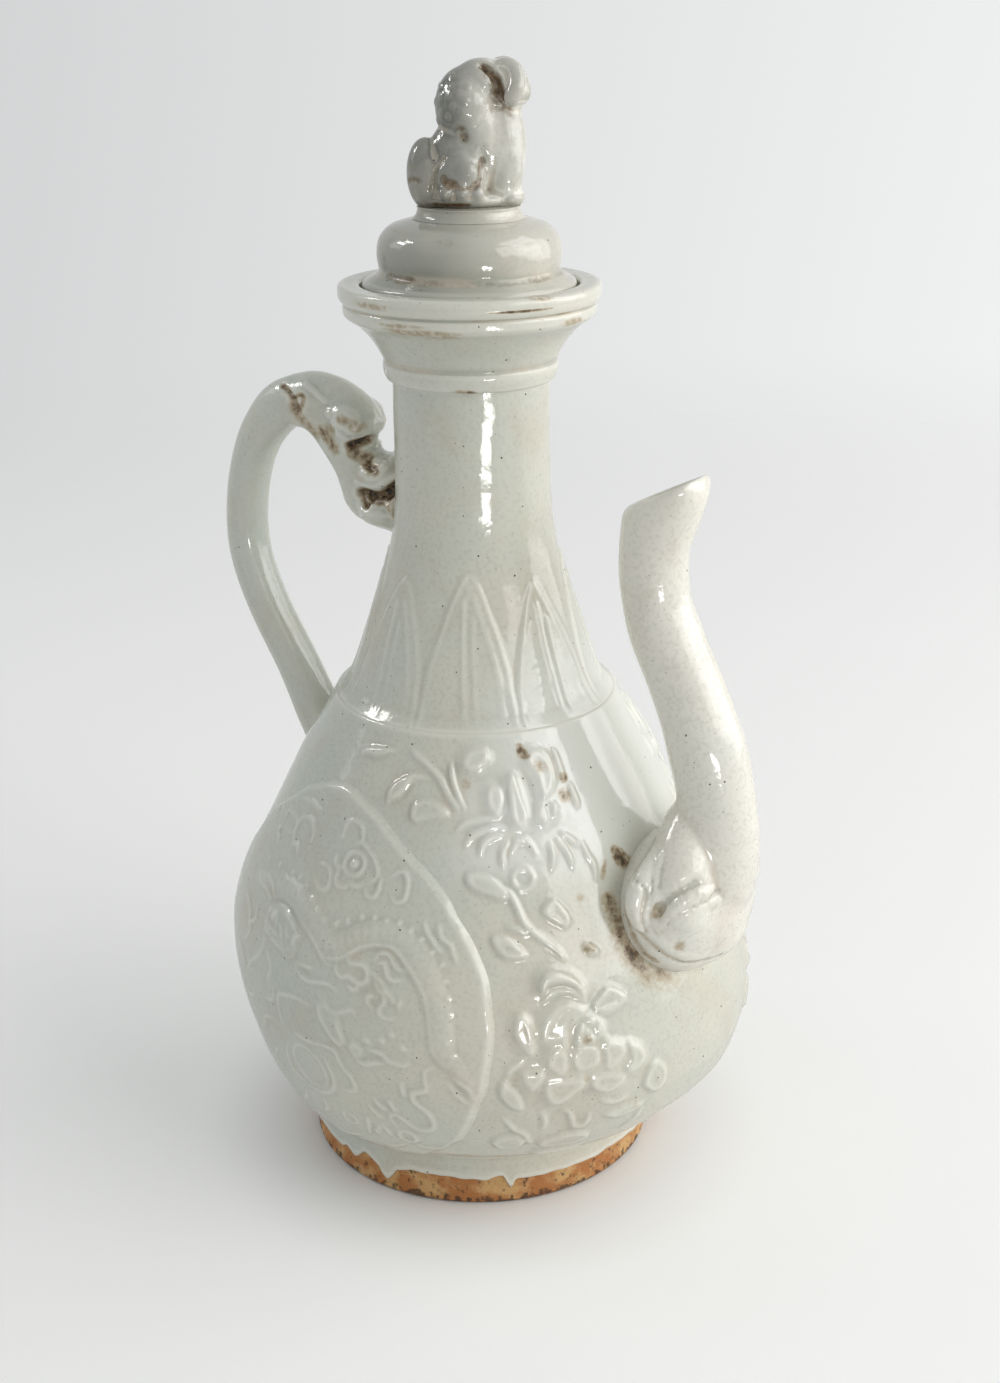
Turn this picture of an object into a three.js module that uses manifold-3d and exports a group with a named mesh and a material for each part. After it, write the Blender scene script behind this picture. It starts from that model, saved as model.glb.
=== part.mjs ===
// Lidded ewer of glazed stoneware: a pear-shaped vessel on a foot ring, with a spout that grows from a
// monster's mouth, a dragon handle, two raised peach-shaped panels and a loose domed lid with a lion knob.
// Millimetres. The origin is the centre of the foot's underside, +Z is up and +X points along the spout.
import * as THREE from "three";
import { mergeVertices } from "three/addons/utils/BufferGeometryUtils.js";
import Module from "manifold-3d";

const wasm = await Module();
wasm.setup();

// Driving dimensions of the joints: pieces luted together keep this gap, and cutters run past what they cut.
const luteGap = 0.3;
const overrun = 30;
const weldDistance = 0.001;

// Driving dimensions of the foot ring and the floor.
const footRadius = 49.5;
const footHeight = 18;
const footWall = 9;
const footRebate = 4.5;
const footChamfer = 1.2;
const floorThickness = 5.5;
const floorRise = 1.5;

// Driving dimensions of the belly: a pear shape that has settled a little towards the spout.
const bellyOverhang = 0.5;
const bellyRadius = 73;
const bellyWidestRise = 40;
const bellyHeight = 120;
const shoulderRadius = 38.7;
const bellyWall = 5;
const bellySettle = 7.4;

// Driving dimensions of the neck.
const shoulderLedge = 1.8;
const neckRadius = 20.6;
const neckHeight = 86;
const neckWall = 4.4;

// Driving dimensions of the cup mouth and of the gallery that seats the lid.
const collarProud = 1.9;
const collarHeight = 4.6;
const cupHeight = 24.8;
const lipRadius = 34.4;
const lipHeight = 4.9;
const lipBandHeight = 3.3;
const lipStep = 0.8;
const lipWidth = 5.9;
const lipRound = 0.7;
const seatDepth = 2.9;
const seatWidth = 5.9;
const throatDepth = 9.5;

// Driving dimensions of the lid.
const flangeClearance = 0.6;
const flangeHeight = 3;
const flangeRound = 1.4;
const flangeShelf = 3.8;
const domeHeight = 15.9;
const lidWall = 4.6;
const bezelClearance = 0.7;
const bezelWall = 3.4;
const bezelDepth = 6.4;
const bezelTaper = 0.7;

// Driving dimensions of the finial.
const plinthRadius = 14.2;
const plinthWaist = 0.9;
const plinthHeight = 2.2;
const lionHeight = 35.7;
const lionLength = 31.5;
const lionWidth = 23;
const lionTurn = 38;

// Driving dimensions of the spout, with its mouth cut at a slope so that the pouring lip stands highest.
const spoutRootRise = 66;
const spoutRise = 116;
const spoutSwing = 10;
const spoutRootRadius = 10.5;
const spoutWaistRadius = 9.1;
const spoutLipRadius = 9.9;
const spoutWall = 2.9;
const spoutMouthSlope = 24;
const spoutHoleRadius = 6;

// Driving dimensions of the spout's mask.
const maskReach = 18;
const maskHalfWidth = 25;
const maskHalfHeight = 21;
const maskLift = 6;

// Driving dimensions of the handle: a strap from the belly to the top of its arch, and the head from there.
const handleFootRise = 93;
const handleBow = 46;
const handleThickness = 9.2;
const handleWidth = 12;
const archThickness = 13.6;
const biteDrop = 36;
const headHeight = 19.8;
const headWidth = 17;
const browSize = 5;
const jawSize = 8.4;
const cheekInset = 1.4;

// Driving dimensions of the raised panels, measured along the belly's skin.
const panelHalfWidth = 60.5;
const panelHalfHeight = 54.5;
const panelTip = 5;
const panelThickness = 1.2;
const panelCentre = 59;
const panelTurn = 13;
const panelCutDepth = 4;

// How finely the round forms are cut, and how sharply the panels' tips turn.
const bodySegments = 32;
const neckSegments = 26;
const smallSegments = 24;
const spoutSides = 14;
const strapSides = 12;
const strapRings = 16;
const blobSegments = 12;
const blobRings = 9;
const bellySteps = 17;
const neckSteps = 13;
const panelRings = 6;
const panelSpokes = 30;
const tipPower = 8;

const degree = Math.PI / 180;
const { lerp, clamp, smoothstep } = THREE.MathUtils;

// Heights that follow from the driving dimensions.
const bellyBase = footHeight + luteGap;
const shoulderTop = bellyBase + bellyHeight;
const neckBase = shoulderTop + luteGap;
const neckTop = neckBase + neckHeight;
const cupBase = neckTop + luteGap;
const lipTop = cupBase + cupHeight;
const seatLevel = lipTop - seatDepth;
const lidBase = seatLevel + luteGap;
const domeTop = lidBase + flangeHeight + domeHeight;
const plinthBase = domeTop + luteGap;
const lionBase = plinthBase + plinthHeight + luteGap;
const floorUnderside = bellyBase + floorRise - floorThickness;

// Radii that follow from them.
const footBore = footRadius - footWall;
const rebateRadius = footBore + footRebate;
const bellyBaseRadius = footRadius + bellyOverhang;
const neckBaseRadius = shoulderRadius - shoulderLedge;
const collarRadius = neckRadius + collarProud;
const galleryRadius = lipRadius - lipWidth;
const throatRadius = galleryRadius - seatWidth;
const flangeRadius = galleryRadius - flangeClearance;
const domeRadius = flangeRadius - flangeShelf;
const bezelRadius = throatRadius - bezelClearance;
const bezelBore = bezelRadius - bezelWall;

// Outlines chosen by eye, as shares of the sizes they follow: [share of the height, share of the widening].
const bellyLowerShare = [
  [0, 0],
  [0.055, 0.25],
  [0.17, 0.49],
  [0.3, 0.65],
  [0.47, 0.82],
  [0.66, 0.925],
  [0.84, 0.983],
];
const bellyUpperShare = [
  [0, 0],
  [0.1, 0.018],
  [0.2, 0.066],
  [0.3, 0.152],
  [0.4, 0.26],
  [0.52, 0.4],
  [0.66, 0.56],
  [0.78, 0.7],
  [0.89, 0.855],
  [1, 1],
];
const neckShare = [
  [0, 0],
  [0.035, 0.11],
  [0.075, 0.215],
  [0.125, 0.31],
  [0.21, 0.465],
  [0.3, 0.62],
  [0.385, 0.755],
  [0.475, 0.875],
  [0.56, 0.95],
  [0.66, 0.985],
  [0.8, 0.992],
  [1, 1],
];
const cupShare = [
  [0.04, 0.1],
  [0.3, 0.22],
  [0.55, 0.37],
  [0.77, 0.58],
  [1, 0.9],
];
const domeShare = [
  [0.12, 1],
  [0.5, 0.985],
  [0.71, 0.942],
  [0.86, 0.855],
  [0.94, 0.745],
  [0.98, 0.62],
  [1, 0.5],
];
const settleShare = [0, 0.66, 0.97, 0.94, 0.74, 0.46, 0.2, 0.06, 0];
const settleReachShare = 0.62;

// Paths in the upright plane of spout and handle: [share of the swing or bow outwards, share of the rise].
const spoutPathShare = [
  [-1.1, -0.07],
  [0.05, 0.01],
  [0.6, 0.095],
  [0.84, 0.17],
  [0.88, 0.255],
  [0.79, 0.33],
  [0.57, 0.41],
  [0.21, 0.5],
  [-0.23, 0.585],
  [-0.68, 0.665],
  [-1.03, 0.745],
  [-1.17, 0.835],
  [-1.09, 0.92],
  [-0.87, 1],
  [-0.7, 1.06],
];
const handlePathShare = [
  [-0.1, -0.043],
  [0.125, 0.106],
  [0.337, 0.276],
  [0.605, 0.485],
  [0.789, 0.669],
  [0.871, 0.83],
  [0.876, 1.018],
  [0.81, 1.177],
  [0.652, 1.292],
  [0.451, 1.281],
  [0.293, 1.154],
  [0.147, 1.037],
  [-0.054, 0.996],
];
const handleJointShare = 0.69;

// The lion as rounded masses: the centre and the half sizes, as shares of its length, width and height.
const lionMassShare = {
  pad: { at: [-0.02, 0, 0.06], size: [0.43, 0.46, 0.09] },
  hindquarters: { at: [-0.1, 0, 0.27], size: [0.31, 0.43, 0.27] },
  chest: { at: [0.22, 0, 0.4], size: [0.25, 0.34, 0.38] },
  mane: { at: [-0.05, 0, 0.67], size: [0.26, 0.37, 0.26] },
  head: { at: [0.17, 0, 0.8], size: [0.26, 0.31, 0.2] },
  muzzle: { at: [0.33, 0, 0.76], size: [0.13, 0.2, 0.13] },
  tail: { at: [-0.38, 0, 0.27], size: [0.13, 0.2, 0.24] },
};

// Where sections swell or narrow along spout and handle, as shares of the path's length.
const spoutWaistShares = [0.35, 0.75];
const spoutFlareShares = [0.8, 0.97];
const archSwellShares = [0.5, 0.69];
const headSwellShares = [0.69, 0.93];
const browPlaceShare = 0.84;
const jawPlaceShare = 0.93;
const strapSquareShare = 0.75;
const headSquareShare = 0.85;

// Finishes.
const glazeColour = 0xcdd0c6;
const warmGlazeColour = 0xd0cec0;
const biscuitColour = 0xb8763f;
const glazeRoughness = 0.16;
const biscuitRoughness = 0.85;

function clay(colour, roughness) {
  return new THREE.MeshStandardMaterial({ color: colour, roughness, metalness: 0 });
}

// Closed geometry to a solid for joining and cutting, and back.
function solid(geometry) {
  const bare = geometry.clone();
  bare.deleteAttribute("normal");
  bare.deleteAttribute("uv");
  const merged = mergeVertices(bare, weldDistance);
  const corners = [];
  for (let i = 0; i < merged.index.count; i += 3) {
    const [a, b, c] = [0, 1, 2].map((step) => merged.index.getX(i + step));
    if (a !== b && b !== c && c !== a) corners.push(a, b, c);
  }
  const vertProperties = merged.attributes.position.array;
  const triVerts = new Uint32Array(corners);
  return new wasm.Manifold(new wasm.Mesh({ numProp: 3, vertProperties, triVerts }));
}

function geometryOf(made) {
  const { numProp, numVert, vertProperties, triVerts } = made.getMesh();
  const places = new Float32Array(numVert * 3);
  for (let i = 0; i < numVert; i += 1) {
    places.set(vertProperties.subarray(i * numProp, i * numProp + 3), i * 3);
  }
  const geometry = new THREE.BufferGeometry();
  geometry.setAttribute("position", new THREE.BufferAttribute(places, 3));
  geometry.setIndex(new THREE.BufferAttribute(triVerts, 1));
  geometry.computeVertexNormals();
  return geometry;
}

// Moves each corner of a geometry by a function of its place.
function reshaped(geometry, move) {
  const places = geometry.attributes.position;
  const corner = new THREE.Vector3();
  for (let i = 0; i < places.count; i += 1) {
    corner.fromBufferAttribute(places, i);
    move(corner);
    places.setXYZ(i, corner.x, corner.y, corner.z);
  }
  return geometry;
}

// A form turned about the upright axis, from [radius, height] points that run upwards on its outside.
function turned(points, segments) {
  const outline = points.map(([radius, height]) => new THREE.Vector2(radius, height));
  return new THREE.LatheGeometry(outline, segments).rotateX(Math.PI / 2);
}

function curveThrough(points) {
  return new THREE.SplineCurve(points.map(([x, y]) => new THREE.Vector2(x, y)));
}

function sampled(curve, steps) {
  return curve.getPoints(steps).map((p) => [p.x, p.y]);
}

// The inside of a wall: the outline moved inwards along its normals, between level ends.
function insideOf(outline, wall, bottomRadius, topRadius) {
  const bottom = outline[0][1];
  const top = outline[outline.length - 1][1];
  const inner = outline
    .slice(1, -1)
    .map(([x, y], i) => {
      const [before, after] = [outline[i], outline[i + 2]];
      const run = new THREE.Vector2(after[0] - before[0], after[1] - before[1]).normalize();
      return [x - run.y * wall, y + run.x * wall];
    })
    .filter(([, y]) => y > bottom + wall && y < top - wall);
  return [[topRadius, top], ...inner.reverse(), [bottomRadius, bottom]];
}

// A rod with a rounded section that runs along a path in the upright plane of spout and handle.
// section(share) gives the half depth in that plane, the half width across it, and how square it is.
function rod(path, sides, rings, section, from = 0, to = 1) {
  const straight = new THREE.CylinderGeometry(1, 1, 1, sides, rings);
  return reshaped(straight, (corner) => {
    const share = clamp(lerp(from, to, corner.y + 1 / 2), 0, 1);
    const middle = path.getPointAt(share);
    const run = path.getTangentAt(share);
    const { deep, wide, square } = section(share);
    const bulge = (value) => Math.sign(value) * Math.abs(value) ** square;
    const out = bulge(corner.x) * deep;
    corner.set(middle.x + run.y * out, -bulge(corner.z) * wide, middle.y - run.x * out);
  });
}

// A rounded mass: a unit ball scaled to its half sizes.
function mass(centre, halfSizes) {
  const ball = new THREE.SphereGeometry(1, blobSegments, blobRings);
  ball.rotateX(Math.PI / 2);
  ball.scale(...halfSizes);
  ball.translate(...centre);
  return solid(ball);
}

function joined(solids) {
  return solids.reduce((whole, next) => whole.add(next));
}

// Everything below or above a level, for cutting.
function slab(direction) {
  const block = new THREE.BoxGeometry(overrun * 2, overrun * 2, overrun);
  return block.translate(0, 0, (direction * overrun) / 2);
}

// The belly's outline, its radius at a height, and how far it has settled towards the spout there.
const bellyWidest = bellyBase + bellyWidestRise;
const bellyCurve = curveThrough([
  ...bellyLowerShare.map(([up, out]) => [
    lerp(bellyBaseRadius, bellyRadius, out),
    lerp(bellyBase, bellyWidest, up),
  ]),
  ...bellyUpperShare.map(([up, out]) => [
    lerp(bellyRadius, shoulderRadius, out),
    lerp(bellyWidest, shoulderTop, up),
  ]),
]);
const bellyOutline = sampled(bellyCurve, bellySteps);

function bellyRadiusAt(height) {
  const above = bellyOutline.findIndex(([, y]) => y >= height);
  if (above < 1) return bellyOutline[above < 0 ? bellyOutline.length - 1 : 0][0];
  const [low, high] = [bellyOutline[above - 1], bellyOutline[above]];
  return lerp(low[0], high[0], (height - low[1]) / (high[1] - low[1]));
}

function settleAt(height) {
  const share = (height - bellyBase) / (bellyHeight * settleReachShare);
  const place = clamp(share, 0, 1) * (settleShare.length - 1);
  const low = Math.min(Math.floor(place), settleShare.length - 2);
  return bellySettle * lerp(settleShare[low], settleShare[low + 1], place - low);
}

function settled(geometry) {
  return reshaped(geometry, (corner) => {
    corner.x += settleAt(corner.z);
  });
}

// The belly's skin, moved outwards by a clearance, as the solid that other pieces are cut back by.
function bellySkin(clearance) {
  const skin = bellyOutline.map(([x, y]) => [x + clearance, y]);
  const bottom = skin[0][1] - clearance;
  const top = skin[skin.length - 1][1];
  const core = [[0, bottom], [skin[0][0], bottom], ...skin, [0, top]];
  return solid(settled(turned(core, bodySegments)));
}

// Where the spout springs from the belly, and its path.
const spoutRoot = bellyBase + spoutRootRise;
const spoutRootX = bellyRadiusAt(spoutRoot) + settleAt(spoutRoot);
const spoutPath = curveThrough(
  spoutPathShare.map(([out, up]) => [spoutRootX + spoutSwing * out, spoutRoot + spoutRise * up]),
);

// Where the handle springs from the belly, where its head bites the neck, and its path.
const handleFoot = bellyBase + handleFootRise;
const handleFootX = bellyRadiusAt(handleFoot) - settleAt(handleFoot);
const biteLevel = neckTop - biteDrop;
const handlePath = curveThrough(
  handlePathShare.map(([out, up], i) => {
    const base = lerp(handleFootX, neckRadius, i / (handlePathShare.length - 1));
    return [-(base + handleBow * out), lerp(handleFoot, biteLevel, up)];
  }),
);
const handleJoint = luteGap / handlePath.getLength() / 2;

// Foot ring, with the rebate that the floor is luted into.
function footRing() {
  const seat = floorUnderside - luteGap;
  const outline = [
    [footBore, footChamfer],
    [footBore + footChamfer, 0],
    [footRadius - footChamfer, 0],
    [footRadius, footChamfer],
    [footRadius, footHeight],
    [rebateRadius, footHeight],
    [rebateRadius, seat],
    [footBore, seat],
    [footBore, footChamfer],
  ];
  return turned(outline, bodySegments);
}

function baseFloor() {
  const radius = rebateRadius - luteGap;
  const top = floorUnderside + floorThickness;
  const outline = [
    [0, floorUnderside],
    [radius, floorUnderside],
    [radius, top],
    [0, top],
  ];
  return turned(outline, bodySegments);
}

// Belly: the pear-shaped shell, with the hole that feeds the spout.
function belly() {
  const inside = insideOf(bellyOutline, bellyWall, rebateRadius, shoulderRadius - bellyWall);
  const shell = turned([...bellyOutline, ...inside, bellyOutline[0]], bodySegments);
  const inward = spoutPath.getTangentAt(0);
  const drill = new THREE.CylinderGeometry(spoutHoleRadius, spoutHoleRadius, overrun * 2, smallSegments);
  drill.rotateZ(-Math.PI / 2);
  drill.rotateY(-Math.atan2(inward.y, inward.x));
  drill.translate(spoutRootX, 0, spoutRoot);
  return geometryOf(solid(settled(shell)).subtract(solid(drill)));
}

// Neck: from the shoulder ledge up to the cup.
const neckCurve = curveThrough(
  neckShare.map(([up, out]) => [lerp(neckBaseRadius, neckRadius, out), lerp(neckBase, neckTop, up)]),
);
const neckOutline = sampled(neckCurve, neckSteps);

function neck() {
  const inside = insideOf(neckOutline, neckWall, neckBaseRadius - neckWall, neckRadius - neckWall);
  return turned([...neckOutline, ...inside, neckOutline[0]], neckSegments);
}

// Cup mouth: a collar, a flaring cup, a stepped band and the flat lip around the lid's seat.
function mouthCup() {
  const lipBase = lipTop - lipHeight;
  const bandBase = lipBase - lipBandHeight;
  const collarTop = cupBase + collarHeight;
  const bandRadius = lipRadius - lipStep;
  const flare = cupShare.map(([up, out]) => [
    lerp(collarRadius, bandRadius, out),
    lerp(collarTop, bandBase, up),
  ]);
  const throatBase = seatLevel - throatDepth;
  const cupBore = neckRadius - neckWall;
  const outside = [
    [collarRadius - lipRound, cupBase],
    [collarRadius, cupBase + lipRound],
    [collarRadius + lipRound, collarTop - lipRound],
    ...flare,
    [bandRadius - lipStep, bandBase],
    [bandRadius - lipStep, lipBase],
    [lipRadius - lipRound, lipBase],
    [lipRadius, lipBase + lipRound],
    [lipRadius, lipTop - lipRound],
    [lipRadius - lipRound, lipTop],
  ];
  const inside = [
    [galleryRadius, lipTop],
    [galleryRadius, seatLevel],
    [throatRadius, seatLevel],
    [throatRadius, throatBase],
    [cupBore, cupBase + lipRound],
    [cupBore, cupBase],
    outside[0],
  ];
  return turned([...outside, ...inside], bodySegments);
}

// Lid: a flange that rests on the gallery's seat, and a hollow dome.
function lidCover() {
  const flangeTop = lidBase + flangeHeight;
  const rise = flangeTop + flangeRound;
  const dome = domeShare.map(([up, out]) => [domeRadius * out, lerp(rise, domeTop, up)]);
  const hollow = dome
    .slice(1, -1)
    .reverse()
    .map(([radius, height]) => [radius - lidWall, height - lidWall]);
  const outline = [
    [bezelBore, lidBase],
    [flangeRadius, lidBase],
    [flangeRadius, flangeTop],
    [flangeRadius - flangeRound / 2, flangeTop + flangeRound / 2],
    [flangeRadius - flangeRound, rise],
    ...dome,
    [0, domeTop],
    [0, domeTop - lidWall],
    ...hollow,
    [bezelBore, lidBase],
  ];
  return turned(outline, bodySegments);
}

function lidBezel() {
  const top = lidBase - luteGap;
  const bottom = top - bezelDepth;
  const outline = [
    [bezelBore, bottom],
    [bezelRadius - bezelTaper, bottom],
    [bezelRadius, bottom + bezelTaper],
    [bezelRadius, top],
    [bezelBore, top],
    [bezelBore, bottom],
  ];
  return turned(outline, neckSegments);
}

// Finial: a waisted plinth and the seated lion.
function finialPlinth() {
  const top = plinthBase + plinthHeight;
  const waist = plinthRadius - plinthWaist;
  const outline = [
    [0, plinthBase],
    [plinthRadius, plinthBase],
    [waist, (plinthBase + top) / 2],
    [waist, top],
    [0, top],
  ];
  return turned(outline, smallSegments);
}

function finialLion() {
  const span = [lionLength, lionWidth, lionHeight];
  const scaled = (shares) => shares.map((share, i) => share * span[i]);
  const masses = Object.values(lionMassShare).map(({ at, size }) => mass(scaled(at), scaled(size)));
  return geometryOf(joined(masses).subtract(solid(slab(-1))));
}

// Spout: a bored rod along its path, cut back to the belly's skin and at its sloping mouth.
function spoutRod(clearance) {
  const section = (share) => {
    const waist = lerp(spoutRootRadius, spoutWaistRadius, smoothstep(share, ...spoutWaistShares));
    const flare = (spoutLipRadius - spoutWaistRadius) * smoothstep(share, ...spoutFlareShares);
    const radius = waist + flare + clearance;
    return { deep: radius, wide: radius, square: 1 };
  };
  return solid(rod(spoutPath, spoutSides, strapRings, section));
}

function spout() {
  const lip = spoutPathShare[spoutPathShare.length - 2];
  const mouthCut = slab(1);
  mouthCut.rotateY(-spoutMouthSlope * degree);
  mouthCut.translate(spoutRootX + spoutSwing * lip[0], 0, spoutRoot + spoutRise * lip[1]);
  const outside = spoutRod(0).subtract(bellySkin(luteGap)).subtract(solid(mouthCut));
  return geometryOf(outside.subtract(spoutRod(-spoutWall)));
}

function spoutMask() {
  const middle = spoutRoot + maskLift;
  const whole = mass([spoutRootX, 0, middle], [maskReach, maskHalfWidth, maskHalfHeight]);
  return geometryOf(whole.subtract(bellySkin(luteGap)).subtract(spoutRod(luteGap)));
}

// Handle: the strap rises from the belly to the top of its arch, and the dragon's head bites the neck.
function handleLoop() {
  const section = (share) => ({
    deep: lerp(handleThickness, archThickness, smoothstep(share, ...archSwellShares)) / 2,
    wide: handleWidth / 2,
    square: strapSquareShare,
  });
  const strap = rod(handlePath, strapSides, strapRings, section, 0, handleJointShare - handleJoint);
  return geometryOf(solid(strap).subtract(bellySkin(luteGap)));
}

function handleHead() {
  const section = (share) => ({
    deep: lerp(archThickness, headHeight, smoothstep(share, ...headSwellShares)) / 2,
    wide: lerp(handleWidth, headWidth, smoothstep(share, ...headSwellShares)) / 2,
    square: headSquareShare,
  });
  const from = handleJointShare + handleJoint;
  const head = rod(handlePath, strapSides, strapRings / 2, section, from, 1);
  const brow = handlePath.getPointAt(browPlaceShare);
  const jaw = handlePath.getPointAt(jawPlaceShare);
  const halfHead = headWidth / 2;
  const masses = [
    solid(head),
    mass([brow.x, 0, brow.y + headHeight / 2 - browSize / 2], [browSize, halfHead, browSize / 2]),
    mass([jaw.x, 0, jaw.y - headHeight / 2 + jawSize / 2], [jawSize, halfHead - cheekInset, jawSize]),
  ];
  const neckCore = [[0, neckBase], ...neckOutline.map(([x, y]) => [x + luteGap, y]), [0, neckTop]];
  return geometryOf(joined(masses).subtract(solid(turned(neckCore, neckSegments))));
}

// Raised panel: a layer on the belly's skin, cut out by a block that follows the skin and has the panel's
// outline, round with a pointed top. side is -1 near and 1 far.
function panel(side) {
  const length = bellyCurve.getLength();
  const rims = Array.from({ length: panelRings + 1 }, (_, i) => i / panelRings);
  const under = rims.map((share) => new THREE.Vector2(share, -1));
  const over = rims.map((share) => new THREE.Vector2(share, 1)).reverse();
  const block = new THREE.LatheGeometry([...under, ...over], panelSpokes);
  reshaped(block, (corner) => {
    const spread = Math.hypot(corner.x, corner.z);
    const up = spread ? corner.z / spread : 0;
    const tip = panelTip * Math.max(up, 0) ** tipPower * spread;
    const along = panelCentre + panelHalfHeight * corner.z + tip;
    const share = clamp(along / length, 0, 1);
    const skin = bellyCurve.getPointAt(share);
    const run = bellyCurve.getTangentAt(share);
    const lift = panelCutDepth * corner.y;
    const radius = skin.x + run.y * lift;
    const height = skin.y - run.x * lift;
    const angle = side * (90 + panelTurn) * degree - (panelHalfWidth * corner.x) / skin.x;
    corner.set(radius * Math.cos(angle) + settleAt(height), radius * Math.sin(angle), height);
  });
  const layer = bellySkin(panelThickness).subtract(bellySkin(luteGap));
  return geometryOf(layer.intersect(solid(block)));
}

// The object: the vessel's pieces and the lid's pieces, each group in its own frame.
function piece(name, geometry, colour = glazeColour, roughness = glazeRoughness) {
  const mesh = new THREE.Mesh(geometry, clay(colour, roughness));
  mesh.name = name;
  return mesh;
}

const vessel = new THREE.Group();
vessel.add(
  piece("foot_ring", footRing(), biscuitColour, biscuitRoughness),
  piece("base_floor", baseFloor(), biscuitColour, biscuitRoughness),
  piece("belly", belly()),
  piece("neck", neck()),
  piece("mouth_cup", mouthCup()),
  piece("spout", spout(), warmGlazeColour),
  piece("spout_mask", spoutMask(), warmGlazeColour),
  piece("handle_loop", handleLoop()),
  piece("handle_head", handleHead()),
  piece("panel_near", panel(-1)),
  piece("panel_far", panel(1)),
);

const lid = new THREE.Group();
const lion = piece("finial_lion", finialLion());
lion.position.z = lionBase;
lion.rotation.z = lionTurn * degree;
lid.add(
  piece("lid_cover", lidCover()),
  piece("lid_bezel", lidBezel(), biscuitColour, biscuitRoughness),
  piece("finial_plinth", finialPlinth()),
  lion,
);

const ewer = new THREE.Group();
ewer.add(vessel, lid);

export default ewer;
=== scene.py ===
"""Lidded ewer of pale glazed stoneware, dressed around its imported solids.

Lengths are millimetres until a mesh is made. Heights run up from the table, angles run round the upright
axis from the spout, and a place on the belly is (across, up): millimetres round the skin and along it.
"""
import logging
import math
from dataclasses import dataclass
from enum import Enum

import bpy
import numpy as np
from mathutils import Matrix, Vector


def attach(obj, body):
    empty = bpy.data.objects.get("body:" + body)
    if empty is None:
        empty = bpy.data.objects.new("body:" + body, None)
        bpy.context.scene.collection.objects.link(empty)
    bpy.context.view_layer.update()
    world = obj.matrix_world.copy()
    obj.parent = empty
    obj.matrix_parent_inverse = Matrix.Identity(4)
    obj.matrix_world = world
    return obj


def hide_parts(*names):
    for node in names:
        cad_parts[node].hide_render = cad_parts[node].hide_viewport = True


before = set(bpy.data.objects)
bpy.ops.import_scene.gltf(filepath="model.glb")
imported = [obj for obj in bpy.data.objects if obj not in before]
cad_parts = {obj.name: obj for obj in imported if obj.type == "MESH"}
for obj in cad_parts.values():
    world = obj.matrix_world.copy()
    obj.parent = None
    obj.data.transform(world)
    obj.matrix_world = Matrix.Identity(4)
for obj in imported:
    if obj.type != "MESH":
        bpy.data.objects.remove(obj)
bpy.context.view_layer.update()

METRES_PER_MM = 0.001
# How many rounds of evening out leave the fine hollows, and the broad ones.
FINE_ROUNDS, BROAD_ROUNDS = 3, 14
# The way that runs from left to right for the camera; the lid's and knob's glazes are painted lighter along it, where
# light from the right falls.
ACROSS = (0.839, 0.545, 0.0)
Array = np.ndarray
Arrays = tuple[Array, Array]
Object = bpy.types.Object
Material = bpy.types.Material
Colour = tuple[float, float, float]
Spot = tuple[float, float, float]
Socket = bpy.types.NodeSocket

logging.basicConfig(level=logging.INFO, format="%(message)s")
log = logging.getLogger("ewer")


class Body(str, Enum):
    """The two bodies that a piece can ride on."""

    VESSEL = "vessel"
    LID = "lid"


class Slot(str, Enum):
    """The record's material slots."""

    GLAZE = "glaze"
    WARM = "warm_glaze"
    BISCUIT = "biscuit"
    LID = "glaze_lid"
    KNOB = "glaze_lid_knob"


# Curves and small sums.


def places(line: str) -> Array:
    """Reads a line of places into a table: commas inside each, such as 'across,up', and a space between them."""
    return np.array([[float(part) for part in place.split(",")] for place in line.split()])


def around(count: int) -> Array:
    """Returns angles evenly spaced over a full turn."""
    return np.linspace(0, math.tau, count, endpoint=False)


def written(points: list[Array]) -> str:
    """Writes points down as a line of places."""
    return " ".join(f"{x:.2f},{y:.2f}" for x, y in points)


def drawn(line: str, step: float) -> Array:
    """Returns the points of a tool's path, about one step apart; a single point stays alone."""
    spots = places(line)
    return respaced(curve_through(spots, 10), step) if len(spots) > 1 else spots


def each(drawing: str) -> list[str]:
    """Returns the lines of a drawing, which a slash parts."""
    return drawing.split(" / ")


def curve_through(points: Array, per_span: int) -> Array:
    """Draws an even smooth curve through points.

    Args:
        points: The points, one row each.
        per_span: How many steps to take from each point to the next.

    Returns:
        The curve's points.
    """
    points = np.asarray(points, float)
    spans = len(points) - 1
    place = np.linspace(0, spans, spans * per_span + 1)
    start = np.minimum(place.astype(int), spans - 1)
    part = (place - start)[:, None]
    first, last = points[start], points[start + 1]
    before = points[np.maximum(start - 1, 0)]
    after = points[np.minimum(start + 2, spans)]
    leave, arrive = (last - before) / 2, (after - first) / 2
    cubic = (2 * first - 2 * last + leave + arrive) * part**3
    square = (-3 * first + 3 * last - 2 * leave - arrive) * part**2
    return cubic + square + leave * part + first


def lengths_along(points: Array) -> Array:
    """Returns how far along its line each point lies."""
    steps = np.linalg.norm(np.diff(points, axis=0), axis=1)
    return np.concatenate([[0.0], np.cumsum(steps)])


def respaced(points: Array, step: float) -> Array:
    """Returns the same line with points about one step apart."""
    along = lengths_along(points)
    count = max(int(round(along[-1] / step)), 1)
    wanted = np.linspace(0, along[-1], count + 1)
    return np.stack([np.interp(wanted, along, points[:, i]) for i in range(points.shape[1])], 1)


def smooth_share(value: Array, low: float, high: float) -> Array:
    """Returns 0 below low and 1 above high, with a soft change between."""
    share = np.clip((np.asarray(value, float) - low) / (high - low), 0, 1)
    return share * share * (3 - 2 * share)


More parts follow.
